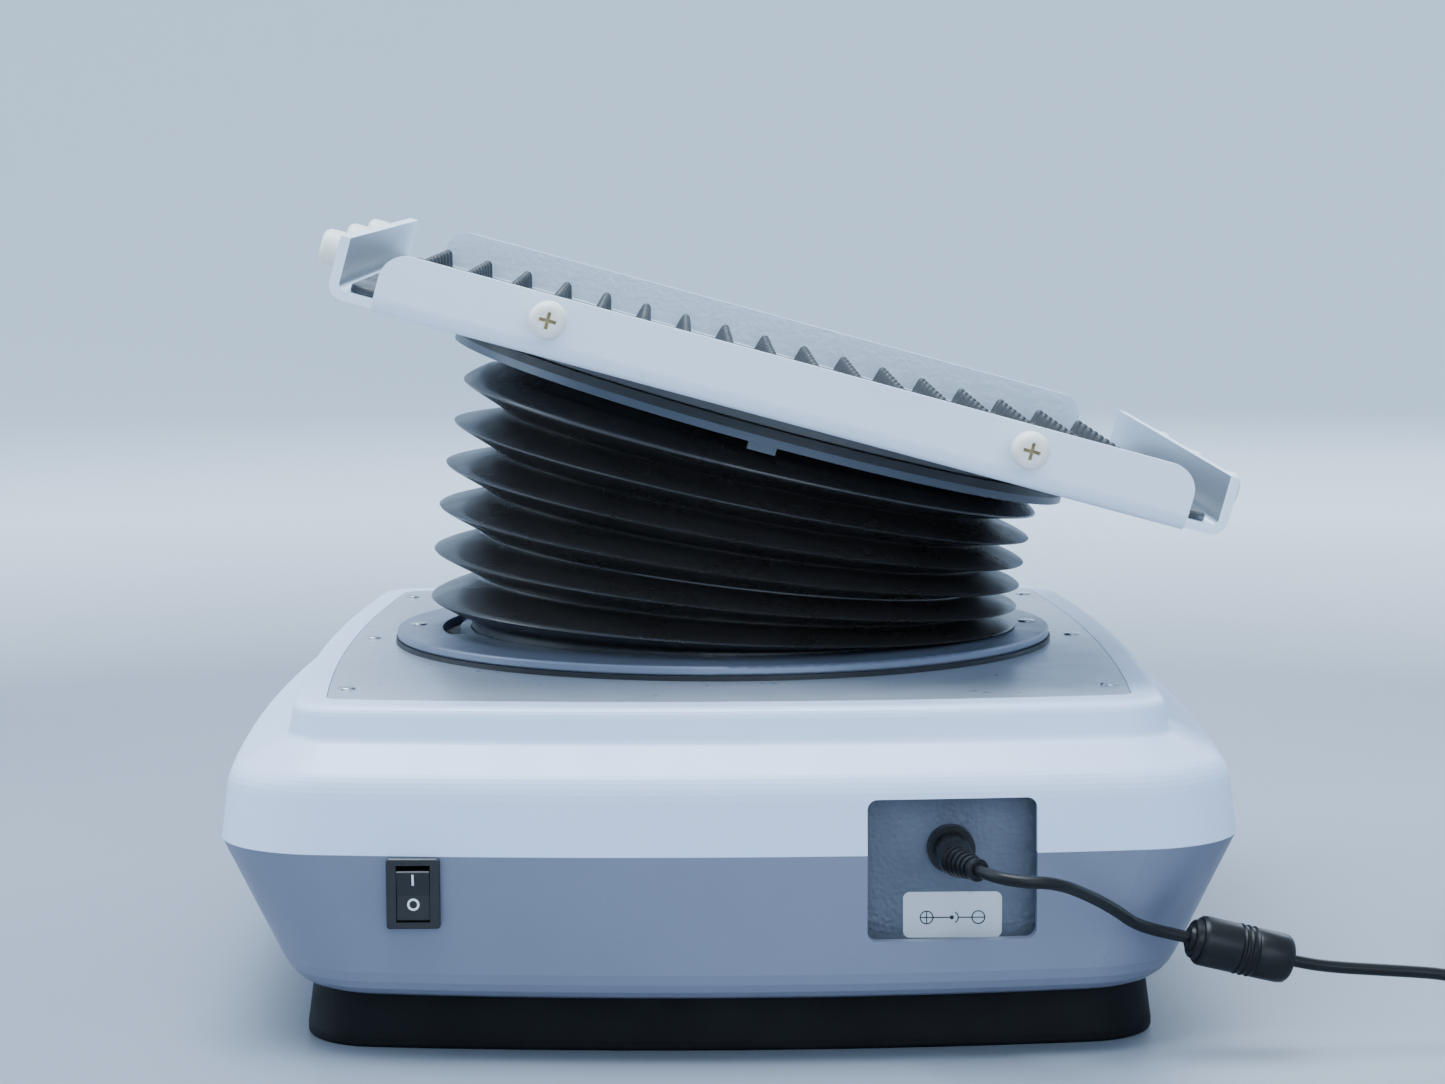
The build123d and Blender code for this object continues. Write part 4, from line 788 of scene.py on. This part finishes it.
def make_knobs():
    """Fluted knobs with a pointer line, in place of the plain ones."""
    for name, x in KNOB_X.items():
        centre = Vector((x, 0, KNOB_Z)) * MM
        y = Vector((0, 1, 0))
        skirt = lathe(centre, y, [
            (181.4, 5.0), (181.4, 11.2), (181.7, 11.5), (183.6, 11.5), (184.2, 11.1), (185.2, 9.9),
        ], 72)
        flutes = 24
        per_flute = 6

        def ripple(i):
            return 1 - 0.035 * (1 - abs(sin(pi * i / per_flute))) ** 2

        crown = [(184.9, 9.9), (186.2, 9.8), (194.6, 9.25), (195.8, 8.9), (196.4, 8.1), (196.5, 7.4)]
        rings = [(centre + y * (at * MM), y, radius * MM) for at, radius in crown]
        grip = skin(rings, flutes * per_flute, swell=ripple)
        knob = mesh_piece(
            f"{name}_control_knob", *join(skirt, grip), FINISHES["black_plastic"],
            f"{name}_control", "black_plastic", 35,
        )
        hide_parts(f"{name}_knob")
        pointer = bar((-x, KNOB_Z + 5.6), (0.9, 3.4), front_face(196.5), 0.07)
        mesh_piece(f"{name}_pointer", *pointer, WHITE_MARK, f"{name}_control", "black_plastic", 30)


make_recesses()
make_label_symbol()
make_rocker_marks()
make_panel_marks()
make_knobs()


# ---- stage: floor, light ----
PALER_FROM, PALER_TO = 0.7, 1.7        # metres from the middle, over which the floor turns to the paler wall


def make_stage():
    """A pale bowl: flat floor that sweeps up far away on every side."""
    flat, bend, wall = 3.2, 1.6, 3.4
    profile = [(0.001, 0.0), (1.0, 0.0), (flat, 0.0)]
    profile += [(flat + bend * sin(radians(a)), bend * (1 - cos(radians(a)))) for a in range(10, 91, 10)]
    profile.append((flat + bend, wall))
    count = 96
    points, faces = [], []
    for radius, height in profile:
        points += [Vector((radius * cos(2 * pi * i / count), radius * sin(2 * pi * i / count), height))
                   for i in range(count)]
    for a in range(len(profile) - 1):
        for i in range(count):
            j = (i + 1) % count
            faces.append((a * count + i, a * count + j, (a + 1) * count + j, (a + 1) * count + i))
    mesh = bpy.data.meshes.new("studio_floor")
    mesh.from_pydata([tuple(p) for p in points], [], faces)
    mesh.shade_smooth()
    s = Shader("floor_pale", (0.42, 0.47, 0.54), 0.42)
    distance = s.node("ShaderNodeVectorMath", operation="LENGTH")
    s.link(s.place, distance.inputs[0])
    s.tint(s.ramp(s.noise(3, 3), 0.3, 0.7), (0.235, 0.26, 0.31), (0.26, 0.29, 0.34))
    s.tint(s.ramp(distance.outputs["Value"], PALER_FROM, PALER_TO), None, (0.86, 0.93, 1.0))
    mesh.materials.append(s.material)
    floor = bpy.data.objects.new("studio_floor", mesh)
    bpy.context.scene.collection.objects.link(floor)


def area_light(name, place, target, size, energy, colour=(0.76, 0.88, 1.0)):
    data = bpy.data.lights.new(name, "AREA")
    data.shape = "RECTANGLE"
    data.size, data.size_y = size
    data.energy, data.color = energy, colour
    lamp = bpy.data.objects.new(name, data)
    way = Vector(target) - Vector(place)
    lamp.matrix_world = Matrix.Translation(place) @ way.to_track_quat("-Z", "Y").to_matrix().to_4x4()
    bpy.context.scene.collection.objects.link(lamp)


def make_light():
    world = bpy.data.worlds.new("studio")
    world.use_nodes = True
    backdrop = world.node_tree.nodes["Background"]
    backdrop.inputs["Color"].default_value = (0.60, 0.77, 1.0, 1)
    backdrop.inputs["Strength"].default_value = 0.85
    bpy.context.scene.world = world
    middle = (0, 0, 0.12)
    area_light("overhead", (-0.3, -0.2, 2.3), middle, (1.7, 1.3), 120)
    area_light("front", (0.5, -2.3, 1.0), middle, (1.8, 1.2), 24)
    area_light("left", (-2.0, 0.2, 1.0), middle, (1.2, 1.4), 16)
    area_light("back", (0.8, 2.3, 1.5), middle, (2.0, 1.2), 28)


make_stage()
make_light()
